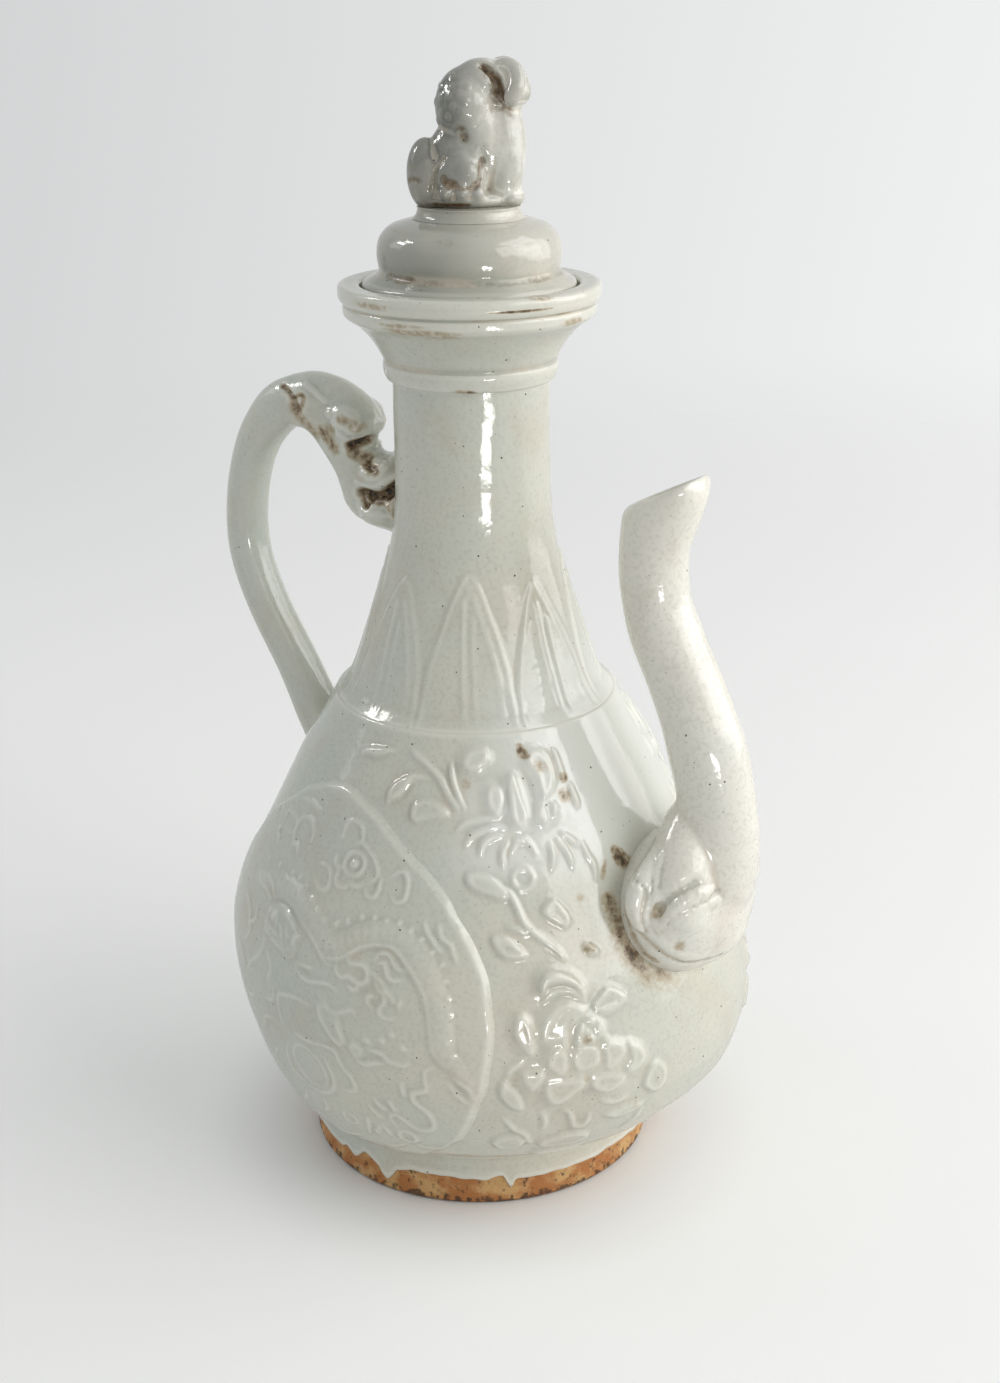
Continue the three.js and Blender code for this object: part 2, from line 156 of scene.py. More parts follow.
def rounded_outline(corners: list[Spot], step: float) -> Array:
    """Rounds the corners of an outline.

    Args:
        corners: Radius, height and corner rounding of each corner, in order.
        step: The distance between points on the result.

    Returns:
        The outline's points, radius and height.
    """
    spots = np.array([corner[:2] for corner in corners], float)
    line = [spots[0]]
    for i in range(1, len(spots) - 1):
        size = corners[i][2]
        to_before, to_after = spots[i - 1] - spots[i], spots[i + 1] - spots[i]
        far_before, far_after = np.linalg.norm(to_before), np.linalg.norm(to_after)
        reach = min(size, far_before * 0.49, far_after * 0.49)
        enter = spots[i] + to_before / far_before * reach
        leave = spots[i] + to_after / far_after * reach
        for part in np.linspace(0, 1, 7 if reach else 1):
            line.append((1 - part) ** 2 * enter + 2 * part * (1 - part) * spots[i] + part**2 * leave)
    line.append(spots[-1])
    dense = [line[0]]
    for point in line[1:]:
        gap = np.linalg.norm(point - dense[-1])
        if gap < 1e-6:
            continue
        start = dense[-1]
        count = max(int(gap / step), 1)
        dense += [start + (point - start) * k / count for k in range(1, count + 1)]
    return np.array(dense)


# Meshes.


def build_mesh(name: str, points: Array, faces: list[Array]) -> Object:
    """Makes a smooth-shaded object from points in millimetres.

    Args:
        name: The piece's name.
        points: One row for each corner point.
        faces: Tables of corner numbers, one table for each kind of face.

    Returns:
        The new object.
    """
    mesh = bpy.data.meshes.new(name)
    mesh.vertices.add(len(points))
    mesh.vertices.foreach_set("co", (np.asarray(points, float) * METRES_PER_MM).ravel())
    tables = [np.asarray(table, np.int32) for table in faces if len(table)]
    corners = np.concatenate([table.ravel() for table in tables])
    counts = np.concatenate([np.full(len(table), table.shape[1]) for table in tables])
    mesh.loops.add(len(corners))
    mesh.loops.foreach_set("vertex_index", corners)
    mesh.polygons.add(len(counts))
    starts = np.concatenate([[0], np.cumsum(counts)[:-1]]).astype(np.int32)
    mesh.polygons.foreach_set("loop_start", starts)
    mesh.polygons.foreach_set("use_smooth", np.ones(len(counts), bool))
    mesh.update(calc_edges=True)
    mesh.validate()
    made = bpy.data.objects.new(name, mesh)
    bpy.context.scene.collection.objects.link(made)
    return made


def grid_faces(rows: int, columns: int, closed: bool, first: int = 0) -> Array:
    """Returns the four-sided faces of a net of points, rows upwards, columns turning left to right.

    Args:
        rows: Rows of points.
        columns: Points in each row.
        closed: Whether each row closes on itself.
        first: The number of the net's first point.

    Returns:
        One row of four corner numbers for each face.
    """
    row, column = np.mgrid[0 : rows - 1, 0 : columns if closed else columns - 1]
    after = (column + 1) % columns
    corners = [row * columns + column, row * columns + after]
    corners += [(row + 1) * columns + after, (row + 1) * columns + column]
    return np.stack([corner.ravel() for corner in corners], 1) + first


def band(low: int, high: int, count: int) -> Array:
    """Returns the four-sided faces between two rings of as many points, given each ring's first number."""
    ring, after = np.arange(count), (np.arange(count) + 1) % count
    return np.stack([low + ring, low + after, high + after, high + ring], 1)


def fan(low: int, tip: int, count: int) -> Array:
    """Returns the triangles between a ring and a point beyond it."""
    ring, after = np.arange(count), (np.arange(count) + 1) % count
    return np.stack([low + ring, low + after, np.full(count, tip)], 1)


def capped_faces(rows: int, columns: int) -> Arrays:
    """Returns the faces of a closed net whose two end points are its last points.

    Args:
        rows: Rows of points.
        columns: Points in each row.

    Returns:
        The four-sided faces, and the triangles at the two ends.
    """
    count = rows * columns
    ends = [fan(0, count, columns)[:, ::-1], fan(count - columns, count + 1, columns)]
    return grid_faces(rows, columns, True), np.vstack(ends)


def within_loop(loop: Array, x: Array, y: Array) -> Arrays:
    """Tells which places lie inside a closed loop.

    Args:
        loop: The loop's points.
        x: The places' first coordinate.
        y: Their second coordinate.

    Returns:
        Whether each place is inside, and its squared distance from the loop.
    """
    inside = np.zeros(np.broadcast_shapes(x.shape, y.shape), bool)
    nearest = np.full(inside.shape, 1e9)
    for (x0, y0), (x1, y1) in zip(loop, np.roll(loop, -1, 0)):
        run = (x1 - x0) ** 2 + (y1 - y0) ** 2
        if run < 1e-9:
            continue
        if y0 != y1:
            inside ^= ((y0 > y) != (y1 > y)) & (x < (x1 - x0) * (y - y0) / (y1 - y0) + x0)
        share = np.clip(((x - x0) * (x1 - x0) + (y - y0) * (y1 - y0)) / run, 0, 1)
        np.minimum(nearest, (x - x0 - share * (x1 - x0)) ** 2 + (y - y0 - share * (y1 - y0)) ** 2, out=nearest)
    return inside, nearest


def zipped_faces(outer: Array, inner: Array, outer_turn: Array, inner_turn: Array) -> Array:
    """Joins two closed rings that have different numbers of points.

    Args:
        outer: Point numbers of the first ring.
        inner: Point numbers of the second ring.
        outer_turn: How far round each of the first ring's points lies, rising from 0 to below 1.
        inner_turn: The same for the second ring.

    Returns:
        Triangles, one row each.
    """
    faces = []
    i = j = 0
    while i < len(outer) or j < len(inner):
        next_outer = outer_turn[i + 1] if i + 1 < len(outer) else 1.0 + (i >= len(outer))
        next_inner = inner_turn[j + 1] if j + 1 < len(inner) else 1.0 + (j >= len(inner))
        here, there = outer[i % len(outer)], inner[j % len(inner)]
        if next_outer <= next_inner:
            faces.append((here, outer[(i + 1) % len(outer)], there))
            i += 1
        else:
            faces.append((here, inner[(j + 1) % len(inner)], there))
            j += 1
    return np.array(faces)


def points_of(piece: Object) -> Array:
    """Returns a piece's points in millimetres."""
    found = np.zeros(len(piece.data.vertices) * 3)
    piece.data.vertices.foreach_get("co", found)
    return found.reshape(-1, 3) / METRES_PER_MM


def normals_of(piece: Object) -> Array:
    """Returns the direction that the skin faces at each of a piece's points."""
    found = np.zeros(len(piece.data.vertices) * 3)
    piece.data.vertices.foreach_get("normal", found)
    return found.reshape(-1, 3)


def move_points(piece: Object, points: Array) -> None:
    """Puts a piece's points, in millimetres, where they are wanted."""
    piece.data.vertices.foreach_set("co", (points * METRES_PER_MM).ravel())
    piece.data.update()


def mark(piece: Object, name: str, values: Array) -> None:
    """Writes one number for each point of a piece, which its finish reads by name."""
    table = piece.data.attributes.new(name, "FLOAT", "POINT")
    table.data.foreach_set("value", np.asarray(values, np.float32))


def edges_of(piece: Object) -> Arrays:
    """Returns a piece's edges and how many edges meet at each point."""
    edges = np.zeros(len(piece.data.edges) * 2, np.int32)
    piece.data.edges.foreach_get("vertices", edges)
    edges = edges.reshape(-1, 2)
    return edges, np.maximum(np.bincount(edges.ravel(), minlength=len(piece.data.vertices)), 1)


def spread(values: Array, edges: Array, meeting: Array, rounds: int) -> Array:
    """Evens values out over neighbouring points, as many rounds as asked."""
    count = len(meeting)
    for _ in range(rounds):
        total = np.bincount(edges[:, 0], values[edges[:, 1]], count)
        total += np.bincount(edges[:, 1], values[edges[:, 0]], count)
        values = (values + total / meeting) / 2
    return values


def soften(piece: Object, rounds: int) -> None:
    """Wipes a piece's skin with a wet sponge, as many rounds as asked."""
    edges, meeting = edges_of(piece)
    points = points_of(piece)
    move_points(piece, np.stack([spread(points[:, i], edges, meeting, rounds) for i in range(3)], 1))


def mark_soaked(piece: Object, spots: str) -> None:
    """Marks iron stains on a turned piece.

    Args:
        piece: The piece.
        spots: Each stain's angle in degrees, height, reach round and up, and strength.
    """
    x, y, z = points_of(piece).T
    stain = np.zeros(len(x))
    for angle, height, wide, tall, amount in places(spots):
        round_it = (np.arctan2(y, x) - math.radians(angle) + math.pi) % math.tau - math.pi
        away = (round_it * np.hypot(x, y) / wide) ** 2 + ((z - height) / tall) ** 2
        stain = np.maximum(stain, amount * np.clip(1 - away, 0, 1))
    mark(piece, "stain", stain)


def mark_hollows(piece: Object) -> None:
    """Marks where glaze pools in hollows and thins on ridges, for the finish to read.

    Args:
        piece: The piece, in its final shape.
    """
    points, facing = points_of(piece), normals_of(piece)
    edges, meeting = edges_of(piece)
    count = len(points)
    run = points[edges[:, 1]] - points[edges[:, 0]]
    size = np.maximum((run**2).sum(1), 1e-4)
    total = np.bincount(edges[:, 0], (run * facing[edges[:, 0]]).sum(1) / size, count)
    total -= np.bincount(edges[:, 1], (run * facing[edges[:, 1]]).sum(1) / size, count)
    bend = np.clip(2 * total / meeting, -3, 3)
    mark(piece, "hollow", spread(bend, edges, meeting, FINE_ROUNDS))
    mark(piece, "deep", spread(bend, edges, meeting, BROAD_ROUNDS))


# Reliefs: strokes and pads of slip on a flat sheet, which is then laid over a skin.


class Relief:
    """A sheet of heights, drawn with strokes of slip and cut pads of clay."""

    def __init__(self, left: float, right: float, bottom: float, top: float, step: float = 0.25) -> None:
        """Starts an empty sheet.

        Args:
            left: Its left edge, across.
            right: Its right edge, across.
            bottom: Its lower edge, up.
            top: Its upper edge, up.
            step: The distance between its points.
        """
        self.left, self.bottom, self.step = left, bottom, step
        self.columns = int((right - left) / step) + 1
        self.rows = int((top - bottom) / step) + 1
        self.pads = np.zeros((self.rows, self.columns))
        self.lines = np.zeros_like(self.pads)

    def _window(self, low: Array, high: Array) -> tuple[slice, slice, Array, Array]:
        """Returns the part of the sheet between two corners, and its points' places."""
        first = np.floor((low - [self.left, self.bottom]) / self.step).astype(int)
        last = np.ceil((high - [self.left, self.bottom]) / self.step).astype(int) + 1
        c0, c1 = np.clip([first[0], last[0]], 0, self.columns)
        r0, r1 = np.clip([first[1], last[1]], 0, self.rows)
        across = self.left + np.arange(c0, c1) * self.step
        up = self.bottom + np.arange(r0, r1) * self.step
        return slice(r0, r1), slice(c0, c1), across[None, :], up[:, None]

    def _dab(self, sheet: Array, spot: Array, radius: float, height: float) -> None:
        """Sets one round dab of slip, as high in the middle as asked."""
        rows, columns, across, up = self._window(spot - radius, spot + radius)
        away = ((across - spot[0]) ** 2 + (up - spot[1]) ** 2) / radius**2
        part = sheet[rows, columns]
        np.maximum(part, height * np.clip(1 - away, 0, 1), out=part)

    def stroke(self, line: str, width: float, height: float, taper: float = 0.3) -> None:
        """Draws a stroke of slip.

        Args:
            line: The points it passes through.
            width: How wide it is at the thick.
            height: How high it stands at the thick.
            taper: The share of its length over which each end thins.
        """
        spots = places(line)
        path = respaced(curve_through(spots, 12), self.step) if len(spots) > 2 else respaced(spots, self.step)
        along = np.linspace(0, 1, len(path))
        thick = np.clip(np.minimum(along, 1 - along) / max(taper, 1e-3), 0, 1) ** 0.6
        for spot, share in zip(path, 0.45 + 0.55 * thick):
            self._dab(self.lines, spot, width / 2 * share, height * share)

    def strokes(self, drawing: str, width: float, height: float) -> None:
        """Draws several strokes alike."""
        for line in each(drawing):
            self.stroke(line, width, height)

    def ring(self, middle: tuple[float, float], radius: float, width: float, height: float) -> None:
        """Draws a closed ring of slip round a middle."""
        turn = np.arange(0, math.tau, self.step / radius)
        for angle in turn:
            spot = np.array(middle) + radius * np.array([math.cos(angle), math.sin(angle)])
            self._dab(self.lines, spot, width / 2, height)

    def knob(self, middle: tuple[float, float], radius: float, height: float) -> None:
        """Sets one round knob."""
        self._dab(self.lines, np.array(middle, float), radius, height)

    def pad(self, line: str, height: float, edge: float = 1.0, dish: float = 0.0, reach: float = 3.0) -> None:
        """Lays a cut pad of clay with a soft edge.

        Args:
            line: The pad's outline; it closes on its first point.
            height: How high its edge stands.
            edge: How wide its rounded edge is.
            dish: How much lower its middle is than its edge.
            reach: How far in from the edge the dish is full.
        """
        spots = places(line)
        loop = curve_through(np.concatenate([spots[-2:], spots, spots[:2]]), 8)[16:-16]
        rows, columns, across, up = self._window(loop.min(0) - 1, loop.max(0) + 1)
        inside, nearest = within_loop(loop, across, up)
        away = np.sqrt(nearest) * inside
        rise = smooth_share(away, 0, edge) * (height - dish * smooth_share(away, edge * 0.7, reach))
        part = self.pads[rows, columns]
        np.maximum(part, rise, out=part)

    def heights(self, blur: float) -> Array:
        """Returns the sheet's heights with pads, lines and a softening as wide as asked."""
        whole = self.pads + self.lines * (1 - 0.25 * np.clip(self.pads, 0, 1))
        return blurred(whole, blur / self.step)

    def laid(self, sheet: Array, across: Array, up: Array) -> Array:
        """Reads heights off a sheet at places on the skin.

        Args:
            sheet: The heights.
            across: Each place's distance across.
            up: Each place's distance up.

        Returns:
            A height for each place, zero outside the sheet.
        """
        column = (across - self.left) / self.step
        row = (up - self.bottom) / self.step
        within = (column >= 0) & (column < self.columns - 1) & (row >= 0) & (row < self.rows - 1)
        c = np.clip(column, 0, self.columns - 1.001)
        r = np.clip(row, 0, self.rows - 1.001)
        c0, r0 = c.astype(int), r.astype(int)
        fc, fr = c - c0, r - r0
        low = sheet[r0, c0] * (1 - fc) + sheet[r0, c0 + 1] * fc
        high = sheet[r0 + 1, c0] * (1 - fc) + sheet[r0 + 1, c0 + 1] * fc
        return (low * (1 - fr) + high * fr) * within


def blurred(sheet: Array, radius: float) -> Array:
    """Softens a sheet of values by a bell curve of the given radius in steps."""
    reach = int(radius * 3) + 1
    bell = np.exp(-0.5 * (np.arange(-reach, reach + 1) / radius) ** 2)
    bell /= bell.sum()
    for axis in (0, 1):
        moved = np.zeros_like(sheet)
        for offset, weight in zip(range(-reach, reach + 1), bell):
            moved += weight * np.roll(sheet, offset, axis)
        sheet = moved
    return sheet


# The glaze and the bare clay.


class Nodes:
    """A finish being wired up, one node at a time."""

    def __init__(self, name: str, world: bool = False) -> None:
        """Starts an empty finish, or the backdrop's, with the given name."""
        self.material = (bpy.data.worlds if world else bpy.data.materials).new(name)
        self.material.use_nodes = True
        self.tree = self.material.node_tree
        self.shader = self.tree.nodes.get("Principled BSDF")

    def add(self, kind: str, inputs: dict[str | int, object] | None = None, **settings: object) -> bpy.types.Node:
        """Adds a node, sets its settings and sets or links its inputs.

        Args:
            kind: The node's type name.
            inputs: Values or other nodes' outputs, by input name or number.
            settings: The node's own settings.

        Returns:
            The node.
        """
        node = self.tree.nodes.new("ShaderNode" + kind)
        for key, value in settings.items():
            setattr(node, key, value)
        for key, value in (inputs or {}).items():
            self.feed(node.inputs[key], value)
        return node

    def feed(self, socket: Socket, value: object) -> None:
        """Links an output to a socket, or sets the socket's value."""
        if isinstance(value, Socket):
            self.tree.links.new(value, socket)
        else:
            socket.default_value = value

    def place(self) -> Socket:
        """Returns the point on the piece, in its own metres."""
        return self.add("TexCoord").outputs["Object"]

    def marked(self, name: str) -> Socket:
        """Returns a number that was marked on the piece's points."""
        return self.add("Attribute", attribute_name=name).outputs["Fac"]

    def noise(self, where: Socket, size_mm: float, detail: float = 3.0) -> Socket:
        """Returns soft noise whose patches are about as large as asked.

        Args:
            where: The point that it is read at.
            size_mm: The patches' size.
            detail: How many finer layers lie in it.

        Returns:
            A number from 0 to 1.
        """
        inputs = {"Vector": where, "Scale": 1 / (size_mm * METRES_PER_MM), "Detail": detail}
        return self.add("TexNoise", inputs).outputs["Fac"]

    def sums(self, kind: str, first: object, second: object = 0.0, third: object = 0.0, clamp: bool = False) -> Socket:
        """Returns a sum, product or other result of numbers."""
        return self.add("Math", {0: first, 1: second, 2: third}, operation=kind, use_clamp=clamp).outputs[0]

    def times(self, first: object, second: object) -> Socket:
        """Returns a product."""
        return self.sums("MULTIPLY", first, second)

    def plus(self, first: object, second: object) -> Socket:
        """Returns a sum."""
        return self.sums("ADD", first, second)

    def dressed(self, **inputs: object) -> Material:
        """Sets the shader's inputs, named with _ for each space, and returns the finish."""
        for name, value in inputs.items():
            self.feed(self.shader.inputs[name.replace("_", " ")], value)
        return self.material

    def share(self, value: Socket, low: float, high: float) -> Socket:
        """Returns 0 below low and 1 above high, with a soft change between."""
        inputs = {"Value": value, "From Min": low, "From Max": high}
        return self.add("MapRange", inputs, interpolation_type="SMOOTHSTEP").outputs["Result"]

    def mixed(self, share: object, first: object, second: object) -> Socket:
        """Returns a colour between two colours."""
        node = self.add("Mix", data_type="RGBA")
        for socket, value in zip((node.inputs[0], node.inputs[6], node.inputs[7]), (share, first, second)):
            self.feed(socket, (*value, 1.0) if isinstance(value, tuple) else value)
        return node.outputs[2]


@dataclass(frozen=True)
class Glaze:
    """Pale glaze over stoneware: darker where it pools in hollows and paler where it thins on ridges, with iron specks
    and stains, a tone that shifts from the shaded side to the lit side, partly its own and partly painted light and
    shade, and a painted reflection on the shoulder.
    """

    name: str
    # The shaded side's darker colour and the lit side's lighter one: painted shade and light, on the vessel mixed with
    # the glaze's own yellower tone towards the spout.
    cool_shaded: Colour = (0.565, 0.60, 0.545)
    warm_lit: Colour = (0.665, 0.64, 0.545)
    blush: Colour = (0.56, 0.49, 0.395)
    pooled: Colour = (0.40, 0.415, 0.35)
    thin: Colour = (0.80, 0.785, 0.71)
    halo: Colour = (0.42, 0.32, 0.185)
    stain: Colour = (0.13, 0.074, 0.03)
    burnt: Colour = (0.026, 0.019, 0.013)
    iron: Colour = (0.045, 0.03, 0.022)
    rust: Colour = (0.24, 0.16, 0.10)
    # A bluish-white reflection of a bright window, painted on the shoulder beside the spout, and its strength.
    painted_reflection: Colour = (0.79, 0.805, 0.76)
    painted_reflection_strength: float = 0.75
    warmth: float = 0.42
    span: float = 0.06
    warm_from: float = 0.0
    toward: Spot = (1.0, 0.0, 0.0)
    roughness: float = 0.085
    cloud_mm: float = 30.0
    blush_mm: float = 17.0
    speck_cell_mm: float = 3.4
    freckle_cell_mm: float = 1.9
    peel_mm: float = 5.0

    def material(self) -> Material:
        """Wires the glaze up and returns it."""
        net = Nodes(self.name)
        where = net.place()
        cloud = net.noise(where, self.cloud_mm)
        base = net.mixed(self._warm_lit_share(net, where, cloud), self.cool_shaded, self.warm_lit)
        blush = net.share(net.noise(where, self.blush_mm, 5.0), 0.5, 0.72)
        base = net.mixed(net.times(blush, 0.36), base, self.blush)
        grain = net.share(net.noise(where, 1.1, 5.0), 0.45, 0.7)
        base = net.mixed(net.times(grain, 0.26), base, self.pooled)
        # Paints a bluish-white reflection on the shoulder beside the spout.
        base = net.mixed(self._painted_reflection_share(net, where), base, self.painted_reflection)
        base = self._pooling(net, where, base)
        freckles = self._specks(net, where, self.freckle_cell_mm, 0.45, 0.15)
        base = net.mixed(net.times(freckles, 0.5), base, self.rust)
        base = self._staining(net, where, base)
        specks = self._specks(net, where, self.speck_cell_mm, 0.3, 0.1)
        base = net.mixed(specks, base, self.iron)
        rough = net.sums("MULTIPLY_ADD", net.noise(where, 9.0), 0.08, self.roughness - 0.04)
        rough = net.plus(rough, net.times(net.marked("stain"), 0.16))
        return net.dressed(Base_Color=base, Roughness=rough, IOR=1.5, Normal=self._skin(net, where, specks))

    def _warm_lit_share(self, net: Nodes, where: Socket, cloud: Socket) -> Socket:
        """Returns how much of the lit side's lighter, yellower colour shows: more towards the lit side, in soft clouds.
        This is painted light and shade; on the vessel the lit side is the spout's, where the glaze is also yellower of
        itself.
        """
        along = net.add("VectorMath", {0: where, 1: self.toward}, operation="DOT_PRODUCT").outputs["Value"]
        # Lighter towards the lit side: painted light and shade.
        side = net.share(along, self.warm_from - self.span, self.warm_from + self.span)
        lean = net.sums("MULTIPLY_ADD", side, 0.6, self.warmth - 0.25)
        drift = net.times(net.sums("SUBTRACT", cloud, 0.5), 1.6)
        return net.sums("ADD", lean, drift, clamp=True)

    def _painted_reflection_share(self, net: Nodes, where: Socket) -> Socket:
        """Returns where a bluish-white reflection is painted on the shoulder beside the spout, in a ragged band."""
        x, _, z = net.add("SeparateXYZ", {0: where}).outputs
        ragged = net.sums("MULTIPLY_ADD", net.noise(where, 11.0, 4.0), 0.012, x)
        near = net.share(ragged, 0.022, 0.042)
        band = net.times(net.share(z, 0.098, 0.112), net.share(z, 0.172, 0.148))
        return net.times(net.times(near, band), self.painted_reflection_strength)

    def _pooling(self, net: Nodes, where: Socket, base: Socket) -> Socket:
        """Deepens the colour in hollows and lightens it on ridges."""
        hollow = net.plus(net.times(net.marked("hollow"), 0.75), net.marked("deep"))
        pooled = net.share(hollow, 0.0, 0.3)
        tone = net.mixed(net.share(net.noise(where, 13.0), 0.42, 0.6), self.pooled, self.blush)
        base = net.mixed(net.times(pooled, 0.62), base, tone)
        ridge = net.share(net.times(hollow, -1.0), 0.0, 0.3)
        return net.mixed(net.times(ridge, 0.5), base, self.thin)

    def _staining(self, net: Nodes, where: Socket, base: Socket) -> Socket:
        """Lays the brown stains that were marked, broken up as they soak in, and burnt black at their hearts."""
        fine = net.share(net.noise(where, 1.5, 6.0), 0.3, 0.7)
        broken = net.plus(net.times(fine, 0.65), 0.38)
        grown = net.times(net.marked("stain"), broken)
        base = net.mixed(net.times(net.share(grown, 0.06, 0.6), 0.7), base, self.halo)
        base = net.mixed(net.times(net.share(grown, 0.45, 1.3), 0.9), base, self.stain)
        return net.mixed(net.share(grown, 1.2, 2.2), base, self.burnt)

    def _specks(self, net: Nodes, where: Socket, cell_mm: float, rarity: float, size: float) -> Socket:
        """Returns where a speck shows: few cells have one, and their sizes differ.

        Args:
            net: The finish being wired.
            where: The point that it is read at.
            cell_mm: How far apart the cells are.
            rarity: The share of cells that have none.
            size: The largest speck's radius, as a share of a cell.

        Returns:
            A number from 0 to 1.
        """
        inputs = {"Vector": where, "Scale": 1 / (cell_mm * METRES_PER_MM), "Randomness": 1.0}
        cells = net.add("TexVoronoi", inputs)
        chance = net.add("SeparateColor", {0: cells.outputs["Color"]})
        radius = net.times(net.share(chance.outputs[0], rarity, 1.0), size)
        near = net.sums("SUBTRACT", radius, cells.outputs["Distance"])
        return net.times(net.share(near, 0.0, size * 0.3), 0.9)

    def _skin(self, net: Nodes, where: Socket, specks: Socket) -> Socket:
        """Returns the glaze's slightly uneven skin, with a pit at each speck."""
        peel = net.times(net.noise(where, self.peel_mm, 2.0), 0.16)
        peel = net.plus(peel, net.times(net.noise(where, 1.0, 2.0), 0.022))
        height = net.sums("SUBTRACT", peel, net.times(specks, 0.06))
        inputs = {"Height": height, "Strength": 1.0, "Distance": METRES_PER_MM}
        return net.add("Bump", inputs).outputs["Normal"]


@dataclass(frozen=True)
class Biscuit:
    """Bare fired clay, burnt orange where the flame reached it, gritty to the touch."""

    name: str
    pale: Colour = (0.60, 0.36, 0.15)
    burnt: Colour = (0.43, 0.17, 0.05)
    soot: Colour = (0.05, 0.028, 0.016)
    patch_mm: float = 7.0
    grit_mm: float = 0.8

    def material(self) -> Material:
        """Wires the clay up and returns it."""
        net = Nodes(self.name)
        where = net.place()
        flame = net.share(net.noise(where, self.patch_mm, 6.0), 0.38, 0.6)
        base = net.mixed(flame, self.pale, self.burnt)
        height = net.add("SeparateXYZ", {0: where}).outputs["Z"]
        # Darker in patches and in the bottom few millimetres.
        low = net.share(height, 0.0035, 0.0)
        darkening = net.plus(net.noise(where, 1.7, 6.0), net.times(low, 0.22))
        base = net.mixed(net.times(net.share(darkening, 0.56, 0.72), 0.85), base, self.soot)
        grit = net.times(net.noise(where, self.grit_mm, 4.0), 0.35)
        coarse = net.plus(grit, net.times(net.noise(where, 3.0, 4.0), 0.5))
        inputs = {"Height": coarse, "Strength": 1.0, "Distance": METRES_PER_MM}
        return net.dressed(Base_Color=base, Roughness=0.86, Normal=net.add("Bump", inputs).outputs["Normal"])


class Finishes:
    """The finishes that the pieces share, each made once."""

    def __init__(self) -> None:
        """Makes the glazes and the bare clay."""
        self.by_slot = {
            Slot.GLAZE: Glaze("pale_glaze").material(),
            # The lid's glaze, painted darker on the shaded left and lighter on the lit right.
            Slot.LID: Glaze(
                "lid_glaze",
                (0.35, 0.355, 0.312),
                (0.64, 0.62, 0.54),
                thin=(0.56, 0.555, 0.495),
                halo=(0.22, 0.18, 0.12),
                span=0.016,
                toward=ACROSS,
            ).material(),
            # The knob's glaze, painted near black on the shaded left and near white on the lit right, for shade and
            # highlight.
            Slot.KNOB: Glaze(
                "knob_glaze",
                (0.15, 0.155, 0.138),
                (0.9, 0.88, 0.8),
                thin=(0.36, 0.355, 0.315),
                halo=(0.165, 0.118, 0.064),
                warmth=0.36,
                span=0.0065,
                warm_from=0.0015,
                toward=ACROSS,
            ).material(),
            Slot.WARM: Glaze(
                "warm_glaze_skin", (0.78, 0.80, 0.76), (0.82, 0.79, 0.71), warmth=0.5, painted_reflection_strength=0.0
            ).material(),
            Slot.BISCUIT: Biscuit("bare_clay").material(),
        }

    def dress(self, piece: Object, slot: Slot, body: Body, *nodes: str, hollows: bool = False) -> None:
        """Gives a piece its finish, the body it rides on and the solids it stands for.

        Args:
            piece: The piece, in place.
            slot: The finish it takes.
            body: The body it rides on.
            nodes: The solids it replaces.
            hollows: Whether its hollows are still to be marked.
        """
        if hollows:
            mark_hollows(piece)
        piece.data.materials.append(self.by_slot[slot])
        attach(piece, body.value)
        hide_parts(*nodes)
        log.info("%s: %d points, rides on %s", piece.name, len(piece.data.vertices), body.value)


# Turned forms.


def wobble(angles: Array, heights: Array, size: float) -> Array:
    """Returns how far a hand-turned wall strays from true at each angle and height."""
    turn, rise = angles[None, :], heights[:, None]
    slow = np.sin(2 * turn + 0.031 * rise + 0.6) + 0.6 * np.sin(3 * turn - 0.05 * rise + 2.1)
    return size * (slow + 0.25 * np.sin(7 * turn + 0.11 * rise))


def turned_points(outline: Array, angles: Array, stray: float = 0.0) -> Array:
    """Turns an outline about the upright axis.

    Args:
        outline: Radius and height of each row.
        angles: Each column's angle.
        stray: How far the wall strays from true.

    Returns:
        Points, row by row.
    """
    radius = outline[:, 0][:, None] + wobble(angles, outline[:, 1], stray) * (outline[:, 0] > 1)[:, None]
    height = np.repeat(outline[:, 1][:, None], len(angles), 1)
    return np.stack([radius * np.cos(angles), radius * np.sin(angles), height], -1)


def turned_piece(name: str, outline: Array, columns: int, stray: float = 0.0) -> Object:
    """Makes a turned piece from an outline that runs up its outside and closes on itself or on the axis.

    Args:
        name: The piece's name.
        outline: Radius and height of each point.
        columns: Points round each ring.
        stray: How far the wall strays from true.

    Returns:
        The piece.
    """
    angles = around(columns)
    on_axis = outline[:, 0] < 1e-6
    closed = np.allclose(outline[0], outline[-1]) and not on_axis[0]
    rings = outline[~on_axis]
    rings = rings[:-1] if closed else rings
    points = turned_points(rings, angles, stray).reshape(-1, 3)
    faces = [grid_faces(len(rings), columns, True)]
    last = (len(rings) - 1) * columns
    if closed:
        faces.append(band(last, 0, columns))
    if on_axis[0]:
        points = np.vstack([points, [0, 0, outline[0, 1]]])
        faces.append(fan(0, len(points) - 1, columns)[:, ::-1])
    if on_axis[-1]:
        points = np.vstack([points, [0, 0, outline[-1, 1]]])
        faces.append(fan(last, len(points) - 1, columns))
    return build_mesh(name, points, faces)


